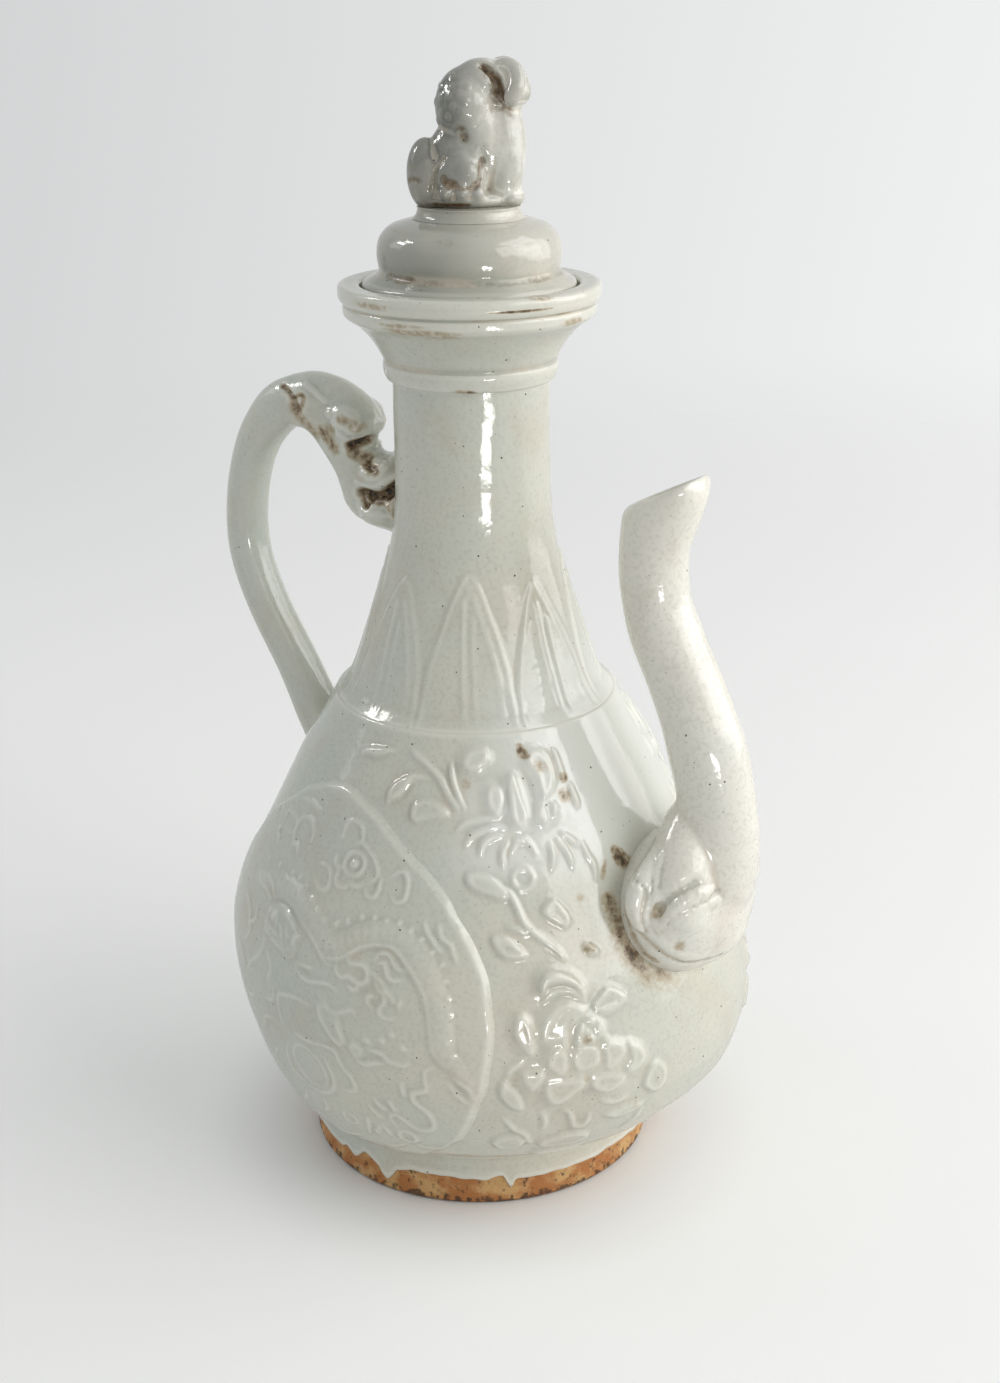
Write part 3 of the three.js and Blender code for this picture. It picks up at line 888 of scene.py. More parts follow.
@dataclass
class BellySkin:
    """The belly's skin: a pear-shaped outline that has settled a little towards the spout."""

    base: float = 18.3
    base_radius: float = 50.0
    widest: float = 58.3
    radius: float = 73.0
    top: float = 138.3
    top_radius: float = 38.7
    settle: float = 7.4
    settle_reach: float = 0.62
    low: str = "0,0 .25,.055 .49,.17 .65,.3 .82,.47 .925,.66 .983,.84"
    high: str = "0,0 .018,.1 .066,.2 .152,.3 .26,.4 .4,.52 .56,.66 .7,.78 .855,.89 1,1"
    settle_shares: tuple[float, ...] = (0, 0.66, 0.97, 0.94, 0.74, 0.46, 0.2, 0.06, 0)

    def __post_init__(self) -> None:
        """Draws the outline and measures along it."""
        low, high = places(self.low), places(self.high)
        rise, fall = self.widest - self.base, self.top - self.widest
        widen, narrow = self.radius - self.base_radius, self.top_radius - self.radius
        lower = np.stack([self.base_radius + widen * low[:, 0], self.base + rise * low[:, 1]], 1)
        upper = np.stack([self.radius + narrow * high[:, 0], self.widest + fall * high[:, 1]], 1)
        self.outline = curve_through(np.vstack([lower, upper]), 60)
        self.along = lengths_along(self.outline)
        self.length = self.along[-1]

    def settled(self, height: Array) -> Array:
        """Returns how far the belly has settled towards the spout at each height."""
        share = np.clip((height - self.base) / ((self.top - self.base) * self.settle_reach), 0, 1)
        steps = len(self.settle_shares) - 1
        return self.settle * np.interp(share * steps, np.arange(steps + 1), self.settle_shares)

    def ring(self, up: Array) -> Arrays:
        """Returns the radius and height at each distance along the outline; below the base it drops straight."""
        radius = np.interp(up, self.along, self.outline[:, 0])
        height = np.interp(up, self.along, self.outline[:, 1]) + np.minimum(up, 0)
        return radius, height

    def point(self, angle: Array, up: Array, lift: Array | float = 0.0) -> Array:
        """Returns points on the skin.

        Args:
            angle: The angle of each, round from the spout.
            up: The distance of each along the outline.
            lift: How far each stands off the skin.

        Returns:
            One point for each place.
        """
        radius, height = self.ring(up)
        ahead, behind = self.ring(up + 0.5), self.ring(up - 0.5)
        run, rise = ahead[0] - behind[0], ahead[1] - behind[1]
        size = np.hypot(run, rise)
        radius = radius + lift * rise / size
        settled = self.settled(height)
        return np.stack([radius * np.cos(angle) + settled, radius * np.sin(angle), height - lift * run / size], -1)

    def across(self, angle: Array, up: Array, middle: float) -> Array:
        """Returns how far across from a middle angle, in degrees, each place lies."""
        turn = (angle - math.radians(middle) + math.pi) % math.tau - math.pi
        return turn * self.ring(up)[0]


# The belly with its flower scroll, and the two dragon panels.


@dataclass
class FlowerScroll:
    """Peonies and leaves in low relief, drawn on a sheet round the belly between the panel and the spout."""

    stems: str = (
        "-28,132 -24,129 -20.8,125.4 -19,121 -17,117.6 / -8,97 -6.6,95.6 -5.2,92 -4,88 -1.8,85 1,82.4 4,79.6 6,76.6"
    )
    leaves: str = (
        "-18,100.4 -16.4,101.6 -13.6,101.6 -11,100.6 -8.6,98.6 -7,95.6 -7.2,93.8 -9.4,93.8 -12.4,95 -15.6,96.4 "
        "-17.6,98.4 / -30.4,113.6 -30,117 -27.6,119.4 -24,119.8 -20.6,118.4 -19,116.2 -21,114.8 -25,114 -29,113 / "
        "-37,116.5 -36.5,120 -34,123 -30,125.5 -27,126.3 -23,125.2 -28,124 -30,121.5 -33,118.5 / -46,127.5 -42,127.8 "
        "-38,128.2 -34,130 -31,131.3 -35,131.6 -40,131 -44,129.6 / 0.4,89.8 2.6,92.4 5.2,93 7.4,90.8 9,88 8.8,85.8 "
        "7,84.6 4,86.4 1.6,88.4 / -13.6,84.6 -11,85.6 -7.8,84.2 -4.8,81 -4,79 -7,78.3 -10.6,79 -12.8,82 / 10.4,79.8 "
        "13,80.4 15.8,77.4 14.4,76.4 11.4,77.4 / -20.8,26 -20.2,28.6 -17,30 -13.6,29.8 -11.6,27.4 -11.6,24.6 -14,22.4 "
        "-18,22.6 / -8.4,26 -5,28 0,29 5,27.6 6.6,24 3,21.4 -3,21.2 -7.4,23.2 / 8,32.8 11,34.2 15,35 19.4,34.8 22,33 "
        "18,31 12,30.6 / 20.6,39 21.6,42.6 24.2,45.6 27,45.8 29.2,42.8 29.2,39 27,36 23.4,36 / 9.8,64.8 12.5,66.8 "
        "15.3,68.5 18.4,67.6 21.5,64.4 18,62 13.5,61.2 10.6,62.4 / -18.8,43.6 -18.5,46.8 -16.8,48.4 -14.8,46.4 "
        "-13.2,44.2 -12.2,41 -12.6,39 -14.6,38.8 -17.2,40.8 / -9,18.6 -4,19.6 3,19 8,17.6 3,16.4 -5,16.6"
    )
    veins: str = (
        "-17,100 -13,98.6 -8.8,95.4 / -29,115 -25,116.8 -21,117 / -35,118.5 -31,122.5 -25,125 / -44,128.6 -38,130 "
        "-33,131 / 2,90.5 5.5,89.5 8,86.8 / -12.6,84 -8.5,82.2 -5,79.6 / -19,27.5 -15,27 -12.5,25.5 / -7,25 -2,25.6 "
        "4,24.6 / 26.5,38 25.6,42 24.6,44.6 / -17.6,46.4 -15.8,43.5 -14,40.2 / 11.4,65.2 15,66 19.6,64.4"
    )
    petals: str = (
        "-15,128.6 -14.6,131 -12.4,133.3 -9,134 -6.9,133.2 -7.1,130 -8.4,128.7 -10.6,127.3 -13.4,127.1 / -10.2,118 "
        "-10,122 -8.6,124 -6.4,123.8 -4.8,122.4 -4.5,120 -5.3,117.4 -6.6,114.9 -7.9,114.9 -9.4,116.4 / -3.2,127.2 "
        "-4.2,123.6 -4.4,119 -4.6,115.4 -3.9,112.8 -1.6,111.6 0.5,113 1.1,116 0.3,119.6 -0.3,123.6 -1.1,127.2 / "
        "1.2,129 3.2,132.2 6,132.2 8.7,129.6 9.9,126 9.3,122 7.7,119.5 5.2,117.8 4,121.4 3.5,125 / 6.6,117.2 8.5,118 "
        "9.6,115.8 8.8,113.2 7.5,111.8 6.6,114 / 2.2,114.4 3.2,117.4 5.6,117.6 6.6,115 6.2,111.8 4,111.5 / -12.2,60 "
        "-11.2,63.6 -9.6,65.6 -7.1,64.8 -6.2,61.4 -6.4,57.6 -7.2,54.8 -9.4,54.4 -11.2,57 / -5.4,50.5 -5,53.5 -2.6,56 "
        "-0.4,56.6 1,54.2 0.9,50.6 -0.4,48.7 -3,48.1 / 1,50.8 1.8,53.8 4.4,55.6 8,55.4 9.9,53.6 9.7,50.4 8,48.8 "
        "4.5,48.2 2,48.6 / 9.9,53.9 12,55.4 15,54.9 17.4,52.8 17.3,50.4 14.5,48.2 11.5,46.8 9.5,48.4 10,51 / "
        "17.6,53.9 20.6,52.9 23.1,50 22.8,47.2 20,45.1 16.6,44.8 15.2,46.6 17.4,49.4 / -7.6,44 -7,47 -4,48.1 0,47.8 "
        "4,47.6 4.8,46 4.2,43.8 1.6,42.4 -1.5,40.4 -3.6,39.7 -5.8,40.2 -7,42 / 4.9,45.6 5.5,43.2 8,41.2 11,40.6 "
        "14.2,41.8 16.2,44 15.2,46 12.5,47 9,47.6 6,47 / -12.6,49 -11.3,50.7 -8.6,50.5 -6.2,51.2 -5.4,49 -7.2,46.4 "
        "-9.6,44.3 -10.8,44.6 -12.1,47 / 3.2,56.2 4.2,60.2 7,62.8 10.2,62.8 12.9,60.6 13.3,57.4 11,55.5 6,55.3 / "
        "-5.2,57 -4.9,61.2 -2,65 2,67 6,66.6 8.8,64.4 5,62.2 2.7,60.4 2.4,57.4 0,56.6"
    )
    lobes: str = (
        "-3.4,69.6 -2.8,74 0,75.9 3.6,75.5 7.2,73.2 9.3,69.6 9.8,65.2 8.2,65.4 6.8,68.2 3.6,70.2 0,70.6 -1.8,69"
    )
    ridges: str = (
        "-17.2,129.8 -17.4,125 -16.6,121 -15.4,117.4 / 10.4,131 11.4,126 12.2,122.6 / 13.6,121 14.6,117.2 15.2,114.6 "
        "/ -18.5,112 -15.6,114.2 -12,115 -8,115 / -16.6,108 -14.6,110.6 -11,112.2 -7.6,113 -5.4,112.2 / -13,105.6 "
        "-12,108.4 -9.6,110.2 -6.6,110.8 / -7.4,102.4 -7.2,106 -5.2,108.8 / -5,105.6 -3,108.7 -0.6,108.5 1,106.6 "
        "1.8,104 / 5.6,107.2 6.2,104 5.3,100.2 / 7.6,108 9.8,105 11,102 11.3,99.4 / 9,109.6 11.4,107.5 13.7,105.1 / "
        "14.8,106 16,102.4 17.6,99 17.6,95.4 / -2.6,67.2 0,69 3,69.4 6,68.4 8.2,66 / -16.2,49.2 -14,51.4 -10,53.6 / "
        "3,61 6,62.9 9.4,64.6 / -8.6,87 -6,86.4 -3.4,84.6 / -3,37.8 -1,36.8 0,34 0.8,31.2 3,30.6 4.6,32.4 4.8,35.4 / "
        "-8.2,37.6 -7.2,34.6 -7.6,31 / -18.4,36.4 -15.2,32.4 -12.2,29.8 -10.6,26.4 -9.6,24.6 / 8,38.6 12,37 16,37.8 / "
        "16,24 19,27.5 21,31 / -2,70.2 -2.4,72.4"
    )
    stamens: str = "9,61.1 5.8,59.5 8,56.6 12.2,55.8 4.5,56.2 0.9,56.2 10.6,58.4 7.4,58.4"
    bed_mm: float = 1.3
    bed_height: float = 0.7
    stains: tuple[tuple[str, float, float], ...] = (
        ("24.6,101.4 26.8,98.4 29.4,95.2", 4.6, 2.4),
        ("30,97.4 31.6,95 33.4,92.4", 3.6, 2.2),
        ("21.6,99.4 19.6,94.4", 2.0, 1.3),
        ("20,91 21.4,88.6 22.8,85.6", 2.6, 1.8),
        ("19.4,90 21.6,85.6 23,82 24,78 25.6,74 27.6,69.4 30,65.6", 9.6, 1.15),
        ("21,88 22.4,84", 2.6, 1.6),
        ("24,77 25.6,73 27.6,69.4", 4.6, 2.3),
        ("26.6,71.4 28.6,67.6", 3.2, 1.4),
        ("22,90 25,78 31,68 40,62", 15.0, 0.62),
        ("30,70 34,66 38,63.6", 3.4, 1.2),
        ("1,134 1.6,131.6 2.8,130", 2.8, 2.2),
        ("4,129 6,127 7.4,125.6", 3.6, 1.0),
        ("11.8,124 12.8,122.4", 3.0, 1.9),
        ("10.8,119.8 12.6,117.4", 4.2, 1.4),
        ("-14.6,125 -13.6,123.4", 3.4, 0.8),
        ("11,78.4 13.6,78.6", 3.6, 1.2),
        ("12,92.6 13,90.8", 3.0, 0.8),
        ("4.2,47.3 5.4,46", 2.2, 1.2),
        ("8,57.4 5.6,56.2", 2.8, 1.0),
        ("-14,46 -13.4,50", 3.0, 0.6),
        ("16,36 20,33", 5.0, 0.4),
    )

    def sheet(self) -> tuple[Relief, Array]:
        """Draws the scroll and returns its sheet and heights."""
        relief = Relief(-62, 40, 14, 138)
        for petal in each(self.petals):
            relief.pad(petal, 1.3, 1.3, 0.3, 3.2)
        for lobe in each(self.lobes):
            relief.pad(lobe, 2.3, 2.0)
        bed = blurred(relief.pads, self.bed_mm / relief.step)
        relief.pads = np.maximum(relief.pads, np.minimum(bed * 1.4, self.bed_height))
        for leaf in each(self.leaves):
            relief.pad(leaf, 0.95, 1.0, 0.3, 2.6)
        for stem in each(self.stems):
            relief.stroke(stem, 2.2, 0.75, 0.1)
        relief.strokes(self.veins, 1.0, 0.3)
        relief.strokes(self.ridges, 1.7, 0.8)
        for spot in places(self.stamens):
            relief.knob(spot, 1.3, 0.7)
        relief.ring((-2.6, 99), 2.7, 1.5, 0.55)
        return relief, relief.heights(0.24)

    def stained(self) -> tuple[Relief, Array]:
        """Marks where iron soaked brown into the glaze, and returns the sheet and how strongly."""
        sheet = Relief(-62, 44, 14, 138, 0.4)
        for line, width, amount in self.stains:
            sheet.stroke(line, width, amount, 0.4)
        return sheet, blurred(sheet.lines, 1.0)


@dataclass
class HandleScroll:
    """The quieter scroll on the side of the handle: two flowers on one stem with paired leaves."""

    stem: str = "-14,26 -6,40 4,54 6,68 -2,82 -6,96 0,108"
    leaves: str = (
        "-6,40 -14,44 -20,52 -14,54 -7,48 / 4,54 12,58 20,56 17,49 9,48 / 6,68 14,72 19,80 13,82 7,76 / -2,82 -10,80 "
        "-17,84 -14,90 -6,88 / -12,30 -20,30 -27,36 -22,40 -14,36"
    )
    flowers: tuple[tuple[float, float], ...] = ((-1, 112), (14, 34))

    def sheet(self) -> tuple[Relief, Array]:
        """Draws the scroll and returns its sheet and heights."""
        relief = Relief(-34, 34, 18, 126)
        relief.stroke(self.stem, 2.8, 1.1, 0.08)
        for leaf in each(self.leaves):
            relief.pad(leaf, 0.95, 0.9, 0.35, 2.2)
            spots = places(leaf)
            vein = [spots[0], (spots[1] + spots[4]) / 2, (spots[2] + spots[3]) / 2]
            relief.stroke(written(vein), 1.1, 0.5)
        for across, up in self.flowers:
            for k in range(6):
                angle = math.tau * k / 6 + 0.3
                middle = np.array([across, up]) + 5.2 * np.array([math.cos(angle), math.sin(angle)])
                loop = [middle + 3.3 * np.array([math.cos(a), math.sin(a)]) for a in np.linspace(0, 5.2, 7)]
                relief.pad(written(loop), 1.2, 0.9, 0.6, 2.2)
            relief.knob((across, up), 2.6, 1.5)
        return relief, relief.heights(0.32)


@dataclass
class Belly:
    """The belly and the glaze that runs down from it over the foot, with the scroll in relief."""

    skin: BellySkin
    wall: float = 5.0
    row_step: float = 0.68
    fine_span: tuple[float, float] = (-104.0, -4.0)
    fine_step: float = 0.57
    coarse_step: float = 0.96
    inner_columns: int = 112
    inner_rows: int = 36
    scroll_middle: float = -42.0
    roll: float = 1.1
    coat: float = 0.1
    edge_coat: float = 0.22
    edge_drop: float = 0.95
    edge_waver: float = 0.06
    edge_rows: int = 18
    tuck: float = 0.15
    hem: float = 0.25
    foot_radius: float = 49.5
    drips: str = (
        "-180,8.6 -150,7.4 -135,5.4 -129.6,5.1 -123,6.2 -112,5.9 -108,7.5 -103.5,5.6 -98.5,9 -93.4,6.8 -90.8,4.1 "
        "-89.3,3.2 -87.8,4.7 -86.4,6.4 -85,7.6 -79,8.6 -70,8.6 -62,8.3 -55.7,7.8 -53,8.6 -50,9.2 -48.9,7.4 -47.2,4.8 "
        "-45.8,7.1 -43,7.6 -36,7.4 -29,7.6 -18,7.2 -7,7.4 4,6 12,5.2 24,6.6 36,7.4 44,5 50,6.8 62,4.4 80,8 105,8 "
        "130,6.2 150,7.6 180,8.6"
    )

    def angles(self) -> Array:
        """Returns the columns' angles, closest together where the scroll is seen best."""
        low, high = self.fine_span
        fine = math.radians(high - low)
        close = max(int(fine * self.skin.radius / self.fine_step), 8)
        wide = max(int((math.tau - fine) * self.skin.radius / self.coarse_step), 8)
        first = np.linspace(math.radians(low), math.radians(high), close, endpoint=False)
        second = np.linspace(math.radians(high), math.radians(low) + math.tau, wide, endpoint=False)
        return np.concatenate([first, second])

    def glaze_edge(self, angles: Array) -> Array:
        """Returns how high over the table the glaze stops at each angle."""
        spots = places(self.drips)
        line = curve_through(spots, 8)
        turn = np.degrees((angles + math.pi) % math.tau - math.pi)
        waver = 0.12 * np.sin(31 * angles + 1) + 0.1 * np.sin(53 * angles)
        return np.interp(turn, line[:, 0], line[:, 1]) + waver

    def relief_at(self, angle: Array, up: Array) -> Array:
        """Returns how far the scroll stands off the skin at each place."""
        relief, sheet = FlowerScroll().sheet()
        near = relief.laid(sheet, self.skin.across(angle, up, self.scroll_middle), up)
        far = relief.laid(sheet, -self.skin.across(angle, up, -self.scroll_middle), up)
        back_relief, back_sheet = HandleScroll().sheet()
        back = back_relief.laid(back_sheet, self.skin.across(angle, up, 180.0), up)
        return np.maximum(np.maximum(near, far), back)

    def build(self, panel: "DragonPanel") -> Object:
        """Makes the belly's skin, the glaze's lower edge and the wall inside.

        Args:
            panel: The panel whose outlines are left out of the skin under it.

        Returns:
            The belly.
        """
        skin, angles = self.skin, self.angles()
        count = len(angles)
        rows = int(skin.length / self.row_step)
        ups = np.linspace(0, skin.length, rows + 1)
        edge = self.glaze_edge(angles)
        depth = skin.base - edge
        shares = np.linspace(1, 0, self.edge_rows, endpoint=False)
        skirt_up = -shares[:, None] * depth[None, :]
        up = np.vstack([skirt_up, np.repeat(ups[:, None], count, 1)])
        angle = np.repeat(angles[None, :], len(up), 0)
        lift = self.relief_at(angle, up)
        over_edge = np.clip((up + depth[None, :]) / self.roll, 0, 1)
        thick = np.sqrt(1 - (1 - over_edge) ** 2)
        edge_lift = self.edge_coat - self.edge_drop * (1 - thick) + self.edge_waver * np.sin(up * 2.3)
        lift = lift + np.where(up < 0, edge_lift, self.coat)
        points = skin.point(angle, up, lift)
        outer = points.reshape(-1, 3)
        faces = grid_faces(len(up), count, True)
        faces = faces[~self._under_panels(angle.ravel(), up.ravel(), faces, panel)]
        piece = self._closed(outer, faces, angles, len(up), edge)
        sheet, amounts = FlowerScroll().stained()
        soaked = sheet.laid(amounts, skin.across(angle, up, self.scroll_middle), up).ravel()
        mark(piece, "stain", np.concatenate([soaked, np.zeros(len(piece.data.vertices) - len(soaked))]))
        return piece

    def _under_panels(self, angle: Array, up: Array, faces: Array, panel: "DragonPanel") -> Array:
        """Returns which faces lie well inside a panel's outline."""
        hidden = np.zeros(len(up), bool)
        for side in (-1, 1):
            across = self.skin.across(angle, up, side * panel.turn)
            hidden |= panel.reach(across, up) < panel.lap_share
        return hidden[faces].all(1)

    def _closed(self, outer: Array, faces: Array, angles: Array, rows: int, edge: Array) -> Object:
        """Adds the wall inside and the ledges that join it to the skin."""
        skin, count = self.skin, len(angles)
        turn = (angles - angles[0]) / math.tau
        inner_turn = np.linspace(0, 1, self.inner_columns, endpoint=False)
        inner_angles = angles[0] + math.tau * inner_turn
        inside_up = np.linspace(skin.length, 1.0, self.inner_rows)
        radius, height = skin.ring(inside_up)
        radius = np.minimum(radius - self.wall, np.interp(inside_up, [0, 12], [45, 62]))
        middle = skin.settled(height)[:, None]
        x, y = radius[:, None] * np.cos(inner_angles)[None, :], radius[:, None] * np.sin(inner_angles)[None, :]
        inside = np.stack([x + middle, y, np.repeat(height[:, None], self.inner_columns, 1)], -1).reshape(-1, 3)
        tucked = self.foot_radius - self.tuck
        hem = np.stack([tucked * np.cos(angles), tucked * np.sin(angles), edge + self.hem], -1)
        first_inside = len(outer)
        first_hem = first_inside + len(inside)
        ring = np.arange(count)
        last_row = (rows - 1) * count + ring
        inner_ring = np.arange(self.inner_columns)
        inner_last = first_inside + (self.inner_rows - 1) * self.inner_columns + inner_ring
        top = zipped_faces(last_row, first_inside + inner_ring, turn, inner_turn)
        bottom = zipped_faces(first_hem + ring, inner_last, turn, inner_turn)[:, ::-1]
        lower = band(first_hem, 0, count)
        wall = grid_faces(self.inner_rows, self.inner_columns, True, first_inside)
        return build_mesh("belly_skin", np.vstack([outer, inside, hem]), [faces, wall, lower, top, bottom])


@dataclass
class DragonPanel:
    """A raised peach-shaped panel moulded with a dragon over rocks and waves, among clouds."""

    skin: BellySkin
    half_outline: str = (
        "0,119.8 4,119.2 7,118 15,114.2 20,110.6 28,104.8 33.7,101 40.5,95 44.8,90 49.7,85 53.6,80 57.5,74 60,66 "
        "60.6,60 59.5,54 58.2,50 56.5,45 53.3,40 50.6,35 46,28 38,19 28,11.5 15,6.2 0,4.5"
    )
    middle: float = 59.0
    turn: float = 103.0
    thickness: float = 1.2
    rim_round: float = 2.6
    lap_share: float = 0.94
    steps: tuple[int, int] = (228, 212)
    spine: str = (
        "-22,89 -15,90 -8,90.5 -4.5,90.5 -1,89.5 2.5,87 5.5,85 8.5,83 12.5,83 16,84.5 19.5,86.5 23,87 26.5,87 30,87 "
        "33.5,85.5 37,83.5 40.5,80.5 44,77.5 46,73.5 47.5,69.5 48.5,65.5 47.5,61.8 48,58.5 49,55"
    )
    body: str = (
        "-24,83.5 -14,86 -6,86.5 0,85 5,82 9,79 13,77.5 17,79 21,82 26,83.8 31,83.3 36,80 40,76 43.5,71 46,65.5 "
        "46.5,60 46.5,56 49.5,52 52,47.5"
    )
    under: str = (
        "-15,81 -12,82.5 -8,83.5 -3,82.8 1,80.5 6,78 8.5,76 11,74.3 14.5,74.2 18,76 22,79.2 27,80.7 31,80.2 35,77 "
        "38.5,73.4 41.3,69.3 43,65 43.3,60 44,55 47,51.5 / 8.5,77 10,74.5 13,72.5 14.5,72.8 / -13,72 -13,68 -15,65 "
        "-20,61 -24,57 / -11,69 -9,66 -8,64 -9.5,61 -9,59"
    )
    face: str = (
        "-13,78 -9,79 -8,75 / -4,78 -2,74 / -14,73 -10,72 -5,71 0,70 1,73 0,75.5 3,77 / -12,75.5 -9,74 -5,74.2 / "
        "-6,80.5 -3,79.5 0,77.5 / -7,77 -5,75.5 -4.5,73"
    )
    whiskers: str = (
        "1,70 3,68 6,66.5 10,66.8 14,67.5 18,66.3 / 2,69.5 6,69.8 9,70 / -13,80 -17,82.5 -21,82 / -12,81 -15,85 "
        "-19,86"
    )
    legs: str = (
        "11,64 14,62 17,60 18,56 19,54 / 10.5,62 12,57.5 15,54 18,51.5 / 21,50 24,49 27,50 30,50.3 / 25,53.5 30,53 "
        "31,51.5 34,51 36,51 37.5,52.5 / 13,62.5 17,61 22,62.7 23,61 / -8,60 -7,57.5 -9,55.5 -13,54.8 / -5,50 -5,58 "
        "0,60 5,60.5 9,60 / 0,50 6,49.8 10,50"
    )
    pads: str = (
        "-14,73 -14,79 -10,82 -4,82 0,79 3,77 1,73 0,70.5 -6,71 -11,72 / 11,63 15,61.5 18,58 19.5,53 16,52 12.5,56 "
        "10.5,60 / 19.5,52.5 21,54.8 24,54.5 25,52 23,50 20.5,50.2 / 23.5,55.5 26,57 27.8,55.8 26.5,54.2 / 28.5,56.5 "
        "30.5,58 32,56.5 30.5,55 / 31.5,58.5 33,60 34.7,58.8 33,57.2 / 33.8,55.5 36,57 37.8,55.5 36,54"
    )
    clouds: str = (
        "8,50 12,50.5 15,50 16,47.5 17,45.5 18.5,44 19,41 17.5,39 14,38.3 / 43.5,51.5 41,50 40.5,47 40,44.8 37.5,43.8 "
        "36,43 36,40.5 38,38.5 39.3,36 39,33 37,31.2 34,31 31,33.5 29,34.8 27.5,34 27.3,31.5 28.5,29.5 / 34,46 "
        "33.5,43 34,41.8 / 24,39 25,37 27,35.8 / 21.5,36 23,33.5 24.5,32.3 / 28.5,39.5 29,37.5 29.5,36 / 15.5,75 "
        "16,72 18,70.3 20,71 23,70 25.5,71 25,73.5 23.5,74.8 20,74.5 18,75.8 15.5,75 / 20,69.5 22,68 24,69.5 / -20,95 "
        "-22.5,97 -21,99.5 / -13,97 -10,98 -8.5,96 / -24,70 -20,73 -21,77 / -30,76 -25,74 -22,69 -25,65 / -32,62 "
        "-27,61 -25,57"
    )
    rocks: str = (
        "10.5,47.5 11.5,44 12,41 11,38 8,35 3,33 -2,33 / -2,33 -6,35.5 -7,40 -5.5,44 / 19.5,30.5 18.5,27 17.5,23 "
        "17,21.5 / 23.5,29 24.5,27 24.8,24 / 23,29 21,26 20,23 / 4.5,30 4,27 2,24 / -4,29 -6,25 -9,22 / 30,24 33,22 "
        "38,23 42,27 / 28,22 25,19 20,17 / 13,18 8,15.5 2,14 / -12,40 -16,36 -15,31 / -10,50 -15,48 -18,43 / -20,52 "
        "-26,50 -31,53"
    )
    flames: str = (
        "26,76.5 28,78.8 30,78.5 32,76.5 33.5,75.3 35.5,75.2 / 27,75.5 29,76.5 30,75 31,73 33,72.3 35,72.8 / 26,73.8 "
        "27.5,72 29,69.5 30.5,68.5 31.3,66.5 30.3,65.2 29.8,63.8 31,62.8 33,62.6 34.5,63.3 / 27,73.5 29.5,71.5 "
        "31,69.5 33,68 33.8,66.2 / 29,67.8 26.5,67.3 26.5,66 28,64.3 / 35,65.5 35.8,68 / 36,88.5 38,85.5 41,82.5 "
        "43,80.5 / 40,88 42,84.5 45,82.5 46.5,80 48,78 / 48,49 51.5,46 52,43 / 46.5,48 48,44.5 50.5,41.5"
    )
    blossoms: str = (
        "4,106 6,105 6,109 8,110.5 11,109.5 12.5,106 11,104.5 / 6.5,101 6,99 8,97.5 10,98.5 / 9.5,104 12,105.5 "
        "16,103.5 18.5,101 20,98 18,95.5 / 8,97.5 8,94.5 9,93 11.5,92.8 12.5,94.5 / 12.5,94.8 14.5,94 17,94.8 / "
        "17.5,94 19,92.3 21,92.5 21.5,95 21,98 / 23,98 26,100.3 28,99 29,96 29,93 27,92.2 25.5,93.5 / 0,93.5 2,91.3 "
        "5,90.3 6.5,92 6,95 4,97 1,96 / -5,98 -4.5,103 -7,106 -11,105.5 -13,102.5 -12,98.5 -8.5,97 / -21,101 -20,104 "
        "-15.5,104.5 -13,103 -14,100 -18,99.3 / -28,100 -27,103.5 -23,103 / -16,109 -10,110.5 -4,109"
    )

    def __post_init__(self) -> None:
        """Measures how far the outline lies from the middle in each direction."""
        away = curve_through(places(self.half_outline), 12) - [0, self.middle]
        self.turns, self.reaches = np.arctan2(away[:, 0], away[:, 1]), np.hypot(*away.T)

    def bound(self, across: Array, rise: Array) -> Array:
        """Returns how far the outline lies from the middle in the direction of each place."""
        return np.interp(np.arctan2(np.abs(across), rise), self.turns, self.reaches)

    def reach(self, across: Array, up: Array) -> Array:
        """Returns 0 at the panel's middle and 1 on its outline."""
        rise = up - self.middle
        return np.hypot(across, rise) / self.bound(across, rise)

    def sheet(self) -> tuple[Relief, Array]:
        """Draws the dragon and what is round it, and returns the sheet and its heights."""
        relief = Relief(-62, 62, 2, 121)
        relief.stroke(self.body, 7.4, 0.62, 0.12)
        for pad in each(self.pads):
            relief.pad(pad, 0.55, 1.2, 0.15, 2.5)
        base = relief.lines.copy()
        relief.lines[:] = 0
        spine = places(self.spine)
        body = curve_through(places(self.body), 24)
        for spot in spine:
            root = body[np.argmin(((body - spot) ** 2).sum(1))]
            tip = spot + (spot - root) * 0.22
            start = spot - (spot - root) * 0.12
            relief.stroke(f"{start[0]},{start[1]} {tip[0]},{tip[1]}", 1.35, 0.62, 0.5)
        self._scales(relief, body)
        relief.strokes(self.under, 1.4, 0.5)
        relief.strokes(self.face, 1.3, 0.55)
        relief.strokes(self.whiskers + " / " + self.flames, 1.3, 0.55)
        relief.strokes(self.legs, 1.5, 0.55)
        relief.strokes(self.clouds, 1.7, 0.58)
        relief.strokes(self.rocks, 1.8, 0.5)
        relief.strokes(self.blossoms, 1.4, 0.5)
        relief.knob((-10, 77.6), 1.3, 1.0)
        relief.ring((12.3, 99.6), 3.1, 1.3, 0.5)
        relief.knob((12.3, 99.6), 1.6, 0.7)
        relief.ring((30, 26.5), 2.4, 1.4, 0.65)
        relief.ring((12.5, 27), 2.2, 1.3, 0.5)
        relief.ring((3, 41), 6.2, 1.3, 0.35)
        relief.pads += base
        return relief, relief.heights(0.3)

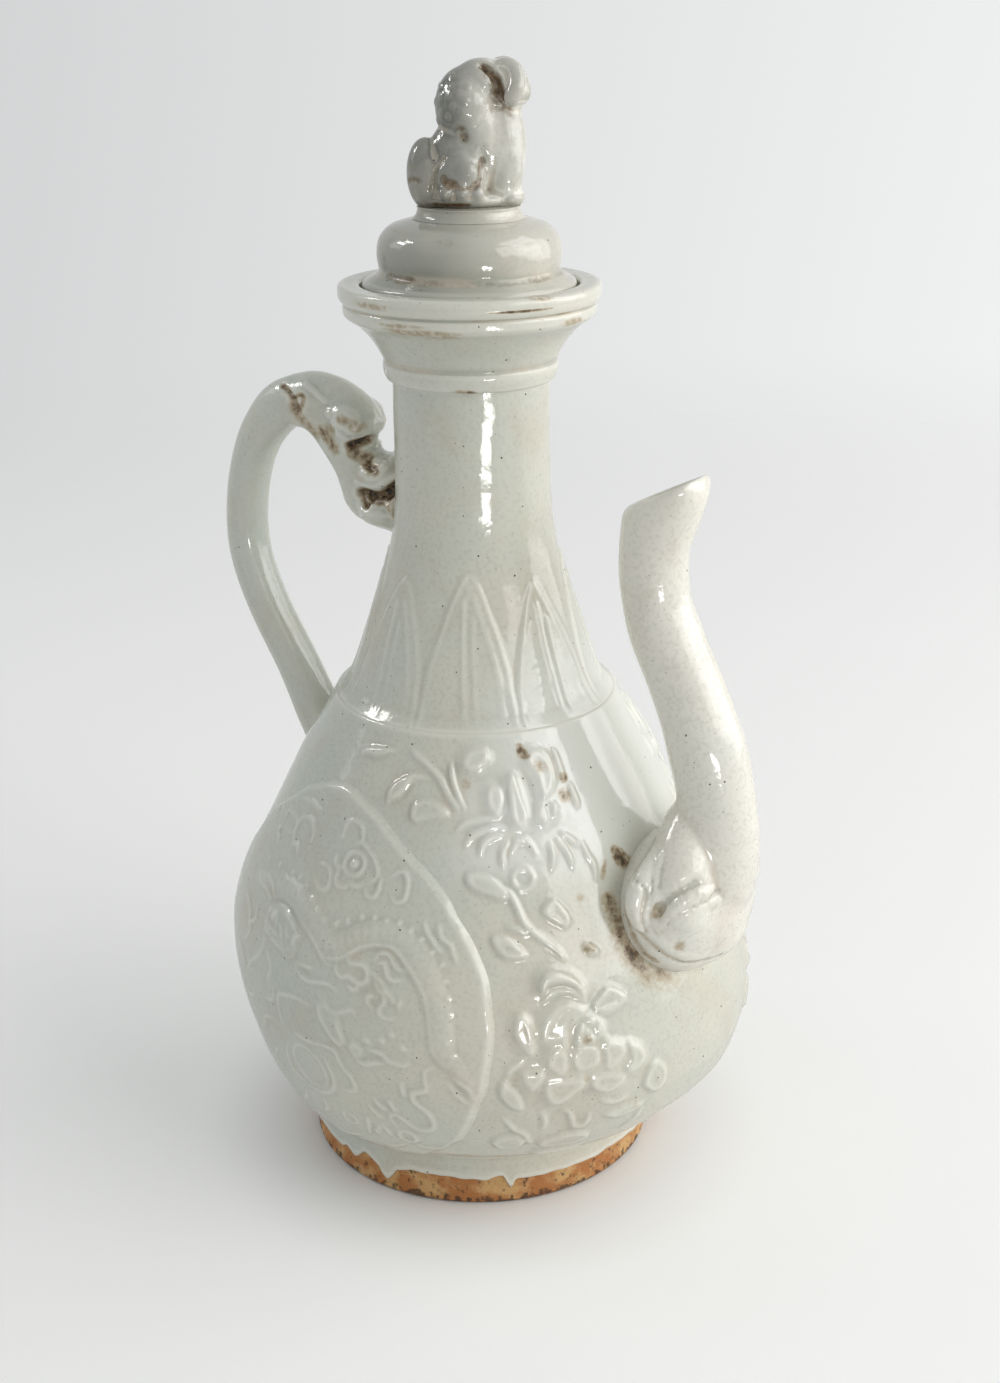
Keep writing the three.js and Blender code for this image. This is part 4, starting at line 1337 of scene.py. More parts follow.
    def _scales(self, relief: Relief, body: Array) -> None:
        """Draws rows of small scale marks along the body."""
        line = respaced(body, 2.4)
        run = np.gradient(line, axis=0)
        run /= np.linalg.norm(run, axis=1)[:, None]
        out = np.stack([-run[:, 1], run[:, 0]], 1)
        for k, (spot, ahead, side) in enumerate(zip(line[3:-4], run[3:-4], out[3:-4])):
            for lane in (-1.1, 1.3) if k % 2 else (0.1,):
                middle = spot + side * lane
                first, last = middle + side * 0.95 - ahead * 0.5, middle - side * 0.95 - ahead * 0.5
                tip = middle + ahead * 0.7
                relief.stroke(f"{first[0]},{first[1]} {tip[0]},{tip[1]} {last[0]},{last[1]}", 0.9, 0.13, 0.2)

    def build(self, name: str, side: int) -> Object:
        """Makes one panel on the belly's skin.

        Args:
            name: The piece's name.
            side: -1 for the near side and 1 for the far side, where the dragon is turned round.

        Returns:
            The panel.
        """
        columns, rows = self.steps
        first, second = np.meshgrid(np.linspace(-1, 1, columns + 1), np.linspace(-1, 1, rows + 1))
        wide = first * np.sqrt(1 - second**2 / 2)
        rise = second * np.sqrt(1 - first**2 / 2)
        spread_out = np.hypot(wide, rise)
        bound = self.bound(wide, rise)
        across = bound * wide
        up = self.middle + bound * rise
        relief, sheet = self.sheet()
        drawn = relief.laid(sheet, across, up)
        to_rim = (1 - spread_out) * bound
        edge = np.clip(to_rim / self.rim_round, 0, 1)
        base = (self.thickness + 0.3) * smooth_share(edge, -0.25, 1.0) - 0.3
        lift = base + drawn * smooth_share(to_rim, 0.6, 3.0)
        radius = self.skin.ring(up)[0]
        angle = math.radians(side * self.turn) - side * across / radius
        points = self.skin.point(angle, up, lift)
        faces = grid_faces(rows + 1, columns + 1, False)
        return build_mesh(name, points.reshape(-1, 3), [faces if side < 0 else faces[:, ::-1]])


# The foot, the neck, the cup mouth and the lid.


@dataclass
class Foot:
    """The foot ring and the floor over it, of bare clay."""

    radius: float = 49.5
    bore: float = 40.5
    height: float = 17.9
    rebate: float = 45.0
    floor_under: float = 14.3
    floor_top: float = 19.6
    stray: float = 0.12

    def ring(self) -> Object:
        """Makes the ring, with a softened tread."""
        outline = [(self.rebate, self.height, 0), (self.rebate, self.floor_under, 0.4)]
        outline += [(self.bore, self.floor_under, 0.8), (self.bore, 0.0, 1.4), (self.radius, 0.0, 1.6)]
        outline += [(self.radius, self.height, 0.4), (self.rebate, self.height, 0)]
        line = rounded_outline(outline, 0.7)
        outside = line[:, 0] > self.radius - 1.2
        line[:, 0] += outside * 0.12 * np.sin(line[:, 1] * 2.1)
        return turned_piece("foot_ring_clay", line, 300, self.stray)

    def floor(self) -> Object:
        """Makes the floor, with the spiral left by the thrower's finger as rings."""
        radius = self.rebate - 0.2
        across = np.linspace(0, radius - 1, 90)
        rings = 0.18 * np.sin(across * 1.15) * smooth_share(across, 2, 9)
        under = np.stack([across, self.floor_under + rings], 1)
        low, high = self.floor_under, self.floor_top
        edge = rounded_outline([(radius - 1, low, 0), (radius, low, 0.5), (radius, high, 0.5), (0, high, 0)], 1.2)
        return turned_piece("floor_clay", np.vstack([under, edge[1:]]), 220)


@dataclass
class Neck:
    """The neck, with eight stiff leaves standing in low relief round its base."""

    base: float = 138.1
    top: float = 224.9
    base_radius: float = 36.9
    top_radius: float = 20.6
    wall: float = 4.4
    shares: str = "0,0 .11,.035 .215,.075 .31,.125 .465,.21 .62,.3 .755,.385 .875,.475 .95,.56 .985,.66 .992,.8 1,1"
    columns: int = 340
    row_step: float = 0.55
    leaf_turn: float = 45.0
    first_leaf: float = -60.0
    leaf_base: float = 139
    leaf_height: float = 40
    leaf_rises: tuple[float, ...] = (0.0, -3.5, 1.0, -2.0, 0.5, -1.5, 1.5, -3.0)
    mm_per_degree: float = 0.52
    hem: float = 1.7

    def outline(self) -> Array:
        """Returns the outside's radius and height, from the base up."""
        spots = places(self.shares)
        radius = self.base_radius + (self.top_radius - self.base_radius) * spots[:, 0]
        height = self.base + (self.top - self.base) * spots[:, 1]
        return respaced(curve_through(np.stack([radius, height], 1), 30), self.row_step)

    def leaf_sheet(self) -> tuple[Relief, Array]:
        """Draws one stiff leaf: two rims, a grooved midrib and fine hatching."""
        relief = Relief(-12.5, 12.5, 136, 184)
        edge = "-11,139 -10.8,147 -9.4,155 -7.2,163 -4.6,170 -1.6,175.4 "
        relief.pad(edge + "0.6,176.4 2.6,174.5 5.6,168 8.4,160 10.3,151 11,139", 0.5, 1.6)
        relief.stroke(edge + "0.6,176.6", 1.9, 0.6, 0.03)
        relief.stroke("0.6,176.6 2.8,174.5 5.6,168 8.4,160 10.3,151 11,139", 1.9, 0.5, 0.03)
        relief.stroke("1.6,171.5 3.6,166 5.8,159 7.4,151 8.2,140", 1.5, 0.32, 0.05)
        relief.stroke("-1.3,171 -1.4,160 -1.1,150 -0.8,140", 1.5, 0.55, 0.05)
        relief.stroke("1.5,166 1.3,158 1.5,150 1.7,140", 1.5, 0.4, 0.05)
        for k in range(11):
            up = 143 + 2.7 * k
            reach = 7.6 * (1 - ((up - 139) / 42) ** 1.5)
            relief.stroke(f"{-2.3},{up} {-2.3 - reach * 0.6:.2f},{up - 2.6:.2f}", 0.8, 0.16)
            relief.stroke(f"{2.4},{up} {2.4 + reach * 0.45:.2f},{up - 2.2:.2f}", 0.8, 0.14)
        return relief, relief.heights(0.4)

    def build(self) -> Object:
        """Makes the neck and its bore."""
        outline = self.outline()
        outline[:, 0] += self.hem * smooth_share(outline[:, 1], self.base + 4.2, self.base) ** 1.5
        angles = around(self.columns)
        points = turned_points(outline, angles, 0.16)
        turn = (np.degrees(angles) - self.first_leaf + self.leaf_turn / 2) % self.leaf_turn - self.leaf_turn / 2
        number = np.floor((np.degrees(angles) - self.first_leaf + self.leaf_turn / 2) / self.leaf_turn) % 8
        taller = np.array(self.leaf_rises)[number.astype(int)]
        relief, sheet = self.leaf_sheet()
        height = np.repeat(outline[:, 1][:, None], self.columns, 1)
        grown = self.leaf_base + (height - self.leaf_base) * (1 - taller[None, :] / self.leaf_height)
        raised = relief.laid(sheet, np.repeat((turn * self.mm_per_degree)[None, :], len(outline), 0), grown)
        away = np.stack([np.cos(angles), np.sin(angles), np.zeros_like(angles)], -1)
        points = points + raised[..., None] * away[None]
        inside = respaced(outline, 3.0)[::-1].copy()
        inside[:, 0] -= self.wall
        bore = turned_points(inside, angles).reshape(-1, 3)
        outer = points.reshape(-1, 3)
        count, rows = self.columns, len(outline)
        first = len(outer)
        last = first + (len(inside) - 1) * count
        faces = [grid_faces(rows, count, True), grid_faces(len(inside), count, True, first)]
        faces += [band((rows - 1) * count, first, count), band(last, 0, count)]
        return build_mesh("neck_skin", np.vstack([outer, bore]), faces)


@dataclass
class CupMouth:
    """The cup mouth: a collar, a flaring cup, a stepped band and a flat lip round the lid's seat."""

    base: float = 224.5
    lip_top: float = 249.7
    lip_radius: float = 34.4
    gallery: float = 28.5
    seat: float = 246.9
    throat: float = 22.6
    bore: float = 16.2
    stray: float = 0.16
    soaked: str = (
        "-57.2,224.7,2.2,0.7,2.6 -62,225,4,0.9,0.8 -35,246.9,10.5,0.42,2.3 -50,244.8,9,0.5,0.5 -14,244.9,6,0.5,0.8 "
        "-80,241.4,14,1.3,0.9 -88,242.9,9,0.8,0.8 -70,240.6,8,1.6,0.6 -5.7,242.3,6,1.2,1 -102,247.2,9,1.2,0.7 "
        "-25,249.3,5,0.6,0.9 95,244.8,16,0.7,1.2 150,241.5,12,1.2,0.8"
    )

    def build(self) -> Object:
        """Makes the cup."""
        top, lip = self.lip_top, self.lip_radius
        outline = [(20.6, self.base, 0), (22.0, self.base + 0.1, 0.9), (22.9, self.base + 2.0, 1.4)]
        outline += [(23.1, 228.6, 1.2), (22.75, 230.0, 1.1), (24.1, 232.6, 1.6), (26.4, 236.2, 2.0), (29.6, 239.4, 1.8)]
        outline += [(32.2, 241.0, 1.0), (33.1, 241.9, 1.0), (33.2, 243.9, 0.8), (32.7, 244.7, 0.7), (33.8, 245.3, 1.0)]
        outline += [(lip, 246.6, 1.3), (lip, top, 1.6), (self.gallery, top - 0.15, 1.2)]
        outline += [(self.gallery, self.seat, 0.5), (self.throat, self.seat, 0.6), (self.throat, 237.4, 3.0)]
        outline += [(self.bore, 226.0, 2.0), (self.bore, self.base, 0), (20.6, self.base, 0)]
        piece = turned_piece("cup_mouth", rounded_outline(outline, 0.4), 360, self.stray)
        mark_soaked(piece, self.soaked)
        return piece


@dataclass
class Lid:
    """The lid: a flat flange under a low dome, a bare bezel below it and the waisted plinth on top."""

    base: float = 247.1
    flange: float = 27.9
    dome: float = 24.1
    top: float = 266.0
    wall: float = 4.6
    bore: float = 18.5
    bezel_radius: float = 21.9
    bezel_base: float = 240.4
    plinth_radius: float = 14.2
    plinth_top: float = 268.8
    soaked: str = (
        "-100.9,252.6,5.5,1.3,1.5 -112,252.8,4,1.2,1.2 -84,252.3,9,1.2,0.55 -60,252.2,12,1.3,0.35 "
        "-35,252.2,12,1.1,0.45 -12,252.3,7,1,0.7 -70,262,6,2,0.3 -122,256,4,3,0.5 -45,266.2,12,1,0.5 "
        "40,252.3,18,1.2,0.6 150,252.3,15,1.2,0.8"
    )

    def cover(self) -> Object:
        """Makes the flange and dome."""
        base, dome, top = self.base, self.dome, self.top
        outline = [(self.bore, base, 0), (self.flange, base, 0.9), (self.flange, base + 2.9, 1.6)]
        outline += [(dome + 1.5, base + 3.9, 1.5), (dome - 0.75, base + 5.4, 1.7), (dome + 0.1, base + 10.0, 4.0)]
        outline += [(dome - 0.7, base + 14.2, 3.2), (dome - 3.4, base + 17.0, 3.2), (dome - 8.6, top - 0.5, 3.0)]
        outline += [(12.5, top - 0.05, 1.5), (0, top, 0)]
        outside = rounded_outline(outline, 0.45)
        roof = top - self.wall
        hollow = [(0, roof, 0), (10, roof, 4), (self.bore - 0.6, top - 9, 4), (self.bore, base, 0)]
        inside = rounded_outline(hollow, 1.2)
        line = np.vstack([inside, outside[1:]])
        piece = turned_piece("lid_dome", line, 320, 0.14)
        mark_soaked(piece, self.soaked)
        return piece

    def bezel(self) -> Object:
        """Makes the bezel that drops into the throat."""
        low, high = self.bezel_base, self.base + 0.1
        outline = [(self.bore, high, 0), (self.bore, low, 0.8), (self.bezel_radius - 0.7, low, 0.9)]
        outline += [(self.bezel_radius, low + 1.2, 0.8), (self.bezel_radius, high, 0), (self.bore, high, 0)]
        return turned_piece("lid_bezel_clay", rounded_outline(outline, 0.6), 240, 0.08)

    def plinth(self) -> Object:
        """Makes the plinth."""
        low, high, wide = self.top - 0.35, self.plinth_top, self.plinth_radius
        outline = [(0, low, 0), (wide + 0.6, low, 0.2), (wide - 0.4, low + 0.9, 1.4), (wide - 0.9, high - 0.7, 1.2)]
        outline += [(wide - 0.6, high, 0.3), (0, high, 0)]
        return turned_piece("lion_plinth", rounded_outline(outline, 0.4), 240, 0.2)


# Spout and handle: rods that run along a path in the upright plane.


@dataclass
class Rod:
    """A path in the upright plane of spout and handle, and the frame that follows it."""

    line: Array

    def __post_init__(self) -> None:
        """Measures the path."""
        self.dense = curve_through(self.line, 60)
        self.along = lengths_along(self.dense) / lengths_along(self.dense)[-1]
        run = np.gradient(self.dense, axis=0)
        self.run = run / np.linalg.norm(run, axis=1)[:, None]

    def at(self, share: Array) -> Arrays:
        """Returns the points and directions at shares of the path's length."""
        middle = np.stack([np.interp(share, self.along, self.dense[:, i]) for i in (0, 1)], -1)
        run = np.stack([np.interp(share, self.along, self.run[:, i]) for i in (0, 1)], -1)
        return middle, run / np.linalg.norm(run, axis=-1, keepdims=True)

    def skin(self, share: Array, turn: Array, deep: Array, wide: Array, square: float = 1.0) -> Array:
        """Returns points on a rod round the path.

        Args:
            share: How far along each point lies.
            turn: Its angle round the rod, 0 on the outer side.
            deep: The rod's half depth in the upright plane there.
            wide: Its half width across.
            square: 1 for an oval section, less for a squarer one.

        Returns:
            One point for each place.
        """
        middle, run = self.at(share)
        out = np.sign(np.cos(turn)) * np.abs(np.cos(turn)) ** square * deep
        side = np.sign(np.sin(turn)) * np.abs(np.sin(turn)) ** square * wide
        return np.stack([middle[..., 0] + run[..., 1] * out, -side, middle[..., 1] - run[..., 0] * out], -1)


@dataclass
class Spout:
    """The spout: a slender double-curved tube whose mouth is cut at a slope."""

    root: float = 84.3
    root_out: float = 67.29
    rise: float = 116.0
    swing: float = 10.0
    root_radius: float = 10.5
    waist_radius: float = 9.1
    lip_radius: float = 10.3
    wall: float = 2.9
    mouth_slope: float = 24.0
    lip_turned_in: float = 1.0
    lip_set_back: float = 0.009
    lip_round: float = 0.36
    bore_rows: int = 60
    path: str = (
        "-1.1,-.07 .05,.01 .6,.095 .84,.17 .88,.255 .79,.33 .57,.41 .21,.5 -.23,.585 -.68,.665 -1.03,.745 -1.17,.835 "
        "-1.08,.92 -.76,1.015 -.5,1.09"
    )
    lip_at: tuple[float, float] = (-0.76, 1.018)
    columns: int = 120
    rows: int = 230

    def rod(self) -> Rod:
        """Returns the spout's path."""
        spots = places(self.path)
        line = np.stack([self.root_out + self.swing * spots[:, 0], self.root + self.rise * spots[:, 1]], 1)
        return Rod(line)

    def radius_at(self, share: Array) -> Array:
        """Returns the spout's radius along its path."""
        waist = smooth_share(share, 0.35, 0.75)
        flare = smooth_share(share, 0.8, 0.97)
        swell = 0.12 * np.sin(share * 31) + 0.08 * np.sin(share * 57 + 1)
        narrower, wider = self.waist_radius - self.root_radius, self.lip_radius - self.waist_radius
        return self.root_radius + narrower * waist + wider * flare + swell

    def _above_mouth(self, points: Array) -> Array:
        """Returns how far each point lies above the sloping mouth."""
        slope = math.radians(self.mouth_slope)
        x = self.root_out + self.swing * self.lip_at[0]
        z = self.root + self.rise * self.lip_at[1]
        return (points[..., 2] - z) * math.cos(slope) - (points[..., 0] - x) * math.sin(slope)

    def _ends(self, rod: Rod, turn: Array, less: float) -> Array:
        """Returns how far along the path each line of the tube meets the mouth."""
        low, high = np.full(len(turn), 0.75), np.full(len(turn), 1.0)
        for _ in range(24):
            middle = (low + high) / 2
            radius = self.radius_at(middle) - less
            over = self._above_mouth(rod.skin(middle, turn, radius, radius)) > 0
            high = np.where(over, middle, high)
            low = np.where(over, low, middle)
        return low

    def shell(self) -> Arrays:
        """Returns the points and faces of the tube, its rounded lip and its bore."""
        rod = self.rod()
        turn = around(self.columns)
        outer_end, inner_end = self._ends(rod, turn, 0.0), self._ends(rod, turn, self.wall)
        rows = []
        for part in np.linspace(0.04, 1, self.rows):
            share = np.minimum(part * outer_end, outer_end - self.lip_set_back * (part == 1))
            radius = self.radius_at(share) - self.lip_turned_in * smooth_share(part, 0.982, 1.0) ** 2
            rows.append(rod.skin(share, turn, radius, radius))
        outside = rows[-1]
        mouth = inner_end - self.lip_set_back
        radius = self.radius_at(mouth) - self.wall
        inside = rod.skin(mouth, turn, radius, radius)
        slope = math.radians(self.mouth_slope)
        up = np.array([-math.sin(slope), 0, math.cos(slope)])
        for angle in np.linspace(0, math.pi, 11)[1:-1]:
            lean = (1 - math.cos(angle)) / 2
            rows.append(outside * (1 - lean) + inside * lean + up * math.sin(angle) * self.wall * self.lip_round)
        for part in np.linspace(1, 0.12, self.bore_rows):
            share = part * mouth
            radius = self.radius_at(share) - self.wall
            rows.append(rod.skin(share, turn, radius, radius))
        points = np.concatenate(rows)
        foot = band((len(rows) - 1) * self.columns, 0, self.columns)
        return points, np.vstack([grid_faces(len(rows), self.columns, True), foot])


# Modelled forms: soft clay masses pressed into one skin, then worked with a tool.


@dataclass
class Mark:
    """One pass of a tool over a modelled piece, drawn from the side or through points in space."""

    line: str
    width: float
    height: float = 0.0
    stain: float = 0.0


@dataclass(frozen=True)
class Section:
    """How a rod's half depth and half width change along its path."""

    shares: tuple[float, ...]
    deep: tuple[float, ...]
    wide: tuple[float, ...]

    def sizes(self, share: Array) -> Arrays:
        """Returns the half depth and half width at shares of the path."""
        line = curve_through(np.column_stack([self.shares, self.deep, self.wide]), 20)
        return np.interp(share, line[:, 0], line[:, 1]), np.interp(share, line[:, 0], line[:, 2])


class Clay:
    """Soft clay masses that are pressed together into one skin."""

    def __init__(self, name: str, voxel: float, smoothing: int) -> None:
        """Starts an empty heap of clay.

        Args:
            name: The piece's name.
            voxel: How fine the joined skin is.
            smoothing: How many rounds of wiping the joins get.
        """
        self.name, self.voxel, self.smoothing = name, voxel, smoothing
        self.points: list[Array] = []
        self.faces: list[Array] = []
        self.count = 0

    def add(self, points: Array, quads: Array, triangles: Array | None = None) -> None:
        """Adds one closed mass.

        Args:
            points: Its points.
            quads: Its four-sided faces.
            triangles: Its three-sided faces.
        """
        self.points.append(points)
        self.faces.append(quads + self.count)
        if triangles is not None:
            self.faces.append(triangles + self.count)
        self.count += len(points)

    def ball(self, at: tuple[float, ...], half: list[float] | Spot | float, lean: float = 0.0) -> None:
        """Adds a rounded mass.

        Args:
            at: Its middle.
            half: Its half sizes.
            lean: How far it leans towards +X about the cross axis, in degrees.
        """
        rows, columns = 21, 34
        rise = np.linspace(-math.pi / 2, math.pi / 2, rows + 2)[1:-1]
        turn = around(columns)
        flat = np.cos(rise)[:, None]
        unit = np.stack([flat * np.cos(turn), flat * np.sin(turn), np.repeat(np.sin(rise)[:, None], columns, 1)], -1)
        unit = np.vstack([unit.reshape(-1, 3), [0, 0, -1], [0, 0, 1]]) * np.array(half)
        angle = math.radians(lean)
        x = unit[:, 0] * math.cos(angle) + unit[:, 2] * math.sin(angle)
        z = -unit[:, 0] * math.sin(angle) + unit[:, 2] * math.cos(angle)
        points = np.stack([x, unit[:, 1], z], 1) + np.array(at)
        self.add(points, *capped_faces(rows, columns))

    def pair(self, at: tuple[float, ...], half: list[float] | Spot | float, lean: float = 0.0) -> None:
        """Adds a rounded mass on both flanks."""
        self.ball(at, half, lean)
        self.ball((at[0], -at[1], at[2]), half, lean)

    def masses(self, table: str) -> None:
        """Adds rounded masses by middle and half sizes; one that lies off the axis is repeated on the other flank."""
        for x, y, z, *half in places(table):
            (self.pair if y else self.ball)((x, y, z), half)

    def rope(self, line: Array | list[Spot], radii: list[float], both: bool = True) -> None:
        """Adds a rolled rope of clay.

        Args:
            line: The points it passes through.
            radii: Its radius at each of them.
            both: Whether the other flank gets one too.
        """
        table = curve_through(np.column_stack([np.array(line, float), radii]), 8)
        along = lengths_along(table[:, :3])
        step = max(float(np.mean(radii)) * 0.4, 0.4)
        wanted = np.linspace(0, along[-1], max(int(along[-1] / step), 2) + 1)
        table = np.stack([np.interp(wanted, along, table[:, i]) for i in range(4)], 1)
        for x, y, z, radius in table:
            if both:
                self.pair((x, y, z), radius)
            else:
                self.ball((x, y, z), radius)

    def tube(self, rod: Rod, start: float, end: float, section: Section, square: float) -> None:
        """Adds a closed rod along a path.

        Args:
            rod: The path.
            start: Where on it the rod starts, as a share.
            end: Where it ends.
            section: Gives the half depth and half width at shares of the path.
            square: How square the section is.
        """
        columns, rows = 36, 120
        turn = around(columns)[None, :]
        share = np.linspace(start, end, rows)[:, None]
        deep, wide = section.sizes(share)
        points = rod.skin(np.repeat(share, columns, 1), np.repeat(turn, rows, 0), deep, wide, square)
        ends = np.stack([points[0].mean(0), points[-1].mean(0)])
        self.add(np.vstack([points.reshape(-1, 3), ends]), *capped_faces(rows, columns))

    def slab(self, outline: str, thickest: float, step: float = 1.3) -> None:
        """Fills a side outline with rounded clay, thin at its edge and thick inside.

        Args:
            outline: The outline, in the upright plane through the axis.
            thickest: The most that it is thick to either side.
            step: How far apart the clay is pressed in.
        """
        loop = curve_through(places(outline + " " + outline.split()[0]), 8)
        x, z = np.meshgrid(*[np.arange(loop[:, i].min(), loop[:, i].max(), step) for i in (0, 1)])
        inside, nearest = within_loop(loop, x, z)
        radius = np.minimum(np.sqrt(nearest), thickest)
        for i, j in np.argwhere(inside & (radius > 1.0)):
            self.ball((x[i, j], 0.0, z[i, j]), float(radius[i, j]))

    def pressed(self) -> Object:
        """Presses the masses into one skin and wipes the joins."""
        heap = build_mesh(self.name + "_heap", np.vstack(self.points), self.faces_by_kind())
        skin = heap.modifiers.new("skin", "REMESH")
        skin.mode, skin.voxel_size = "VOXEL", self.voxel * METRES_PER_MM
        wipe = heap.modifiers.new("wipe", "SMOOTH")
        wipe.factor, wipe.iterations = 0.5, self.smoothing
        graph = bpy.context.evaluated_depsgraph_get()
        mesh = bpy.data.meshes.new_from_object(heap.evaluated_get(graph))
        mesh.name = self.name
        mesh.polygons.foreach_set("use_smooth", np.ones(len(mesh.polygons), bool))
        bpy.data.objects.remove(heap)
        piece = bpy.data.objects.new(self.name, mesh)
        bpy.context.scene.collection.objects.link(piece)
        return piece

    def faces_by_kind(self) -> list[Array]:
        """Returns all faces, those with four sides first."""
        kinds = [[table for table in self.faces if table.shape[1] == sides] for sides in (4, 3)]
        return [np.vstack(tables) for tables in kinds if tables]


class ToolWork:
    """Works a modelled skin: carves and raises lines, sets dabs and marks stains."""

    def __init__(self, piece: Object, mirrored: bool = False) -> None:
        """Takes the piece up.

        Args:
            piece: The modelled piece.
            mirrored: Whether a mark through points in space is repeated on the other flank.
        """
        self.piece, self.mirrored = piece, mirrored
        self.stains = np.zeros(len(piece.data.vertices))

    def _away(self, seen: Array, line: str, width: float) -> Arrays:
        """Returns which points lie within a mark and how far out from its middle, from 0 to 1."""
        path, radius = drawn(line, width / 8), width / 2
        low, high = path.min(0) - radius, path.max(0) + radius
        near = np.flatnonzero(((seen > low) & (seen < high)).all(1))
        away = np.full(len(near), 1e9)
        for spot in path:
            np.minimum(away, ((seen[near] - spot) ** 2).sum(1), out=away)
        keep = away < radius**2
        return near[keep], np.sqrt(away[keep]) / radius

    def _near(self, points: Array, item: Mark) -> Arrays:
        """Returns which points lie within a mark through points in space, on both flanks, and how far out."""
        path, radius = drawn(item.line, item.width / 6), item.width / 2
        away = np.full(len(points), 1e9)
        for side in (points, points * np.array([1, -1, 1])) if self.mirrored else (points,):
            window = np.flatnonzero(((side > path.min(0) - 6 - radius) & (side < path.max(0) + 6 + radius)).all(1))
            if not len(window):
                continue
            near = side[window]
            for spot in path:
                held = near[np.argmin(((near - spot) ** 2).sum(1))]
                away[window] = np.minimum(away[window], ((near - held) ** 2).sum(1))
        chosen = np.flatnonzero(away < radius**2)
        return chosen, np.sqrt(away[chosen]) / radius

    def work(self, marks: tuple[Mark, ...]) -> None:
        """Makes marks one after another: drawn from the side and pressed through, or through points in space."""
        for item in marks:
            points, facing = points_of(self.piece), normals_of(self.piece)
            if item.line.split()[0].count(",") == 2:
                chosen, away = self._near(points, item)
                shape = (1 - away**2) ** 2
            else:
                chosen, away = self._away(points[:, [0, 2]], item.line, item.width)
                shape = (1 - away**2) ** 2 * smooth_share(np.abs(facing[chosen, 1]), 0.05, 0.5)
            points[chosen] += facing[chosen] * (item.height * shape)[:, None]
            if item.stain:
                self.stains[chosen] = np.maximum(self.stains[chosen], item.stain * shape)
            if item.height:
                move_points(self.piece, points)

    def dabs(self, spots: Array, radius: float, height: float) -> None:
        """Sets small round dabs on the skin nearest to each spot.

        Args:
            spots: Where, one point for each.
            radius: How large.
            height: How high.
        """
        points, facing = points_of(self.piece), normals_of(self.piece)
        moved = np.zeros(len(points))
        for spot in spots:
            nearest = points[np.argmin(((points - spot) ** 2).sum(1))]
            away = np.sqrt(((points - nearest) ** 2).sum(1)) / radius
            inside = away < 1
            moved[inside] = np.maximum(moved[inside], height * (1 - away[inside] ** 2))
        move_points(self.piece, points + facing * moved[:, None])

    def finish(self, wipes: int) -> None:
        """Wipes the tool marks soft and writes the stains and hollows that the glaze reads."""
        soften(self.piece, wipes)
        edges, meeting = edges_of(self.piece)
        mark(self.piece, "stain", spread(self.stains, edges, meeting, 6))
        mark_hollows(self.piece)


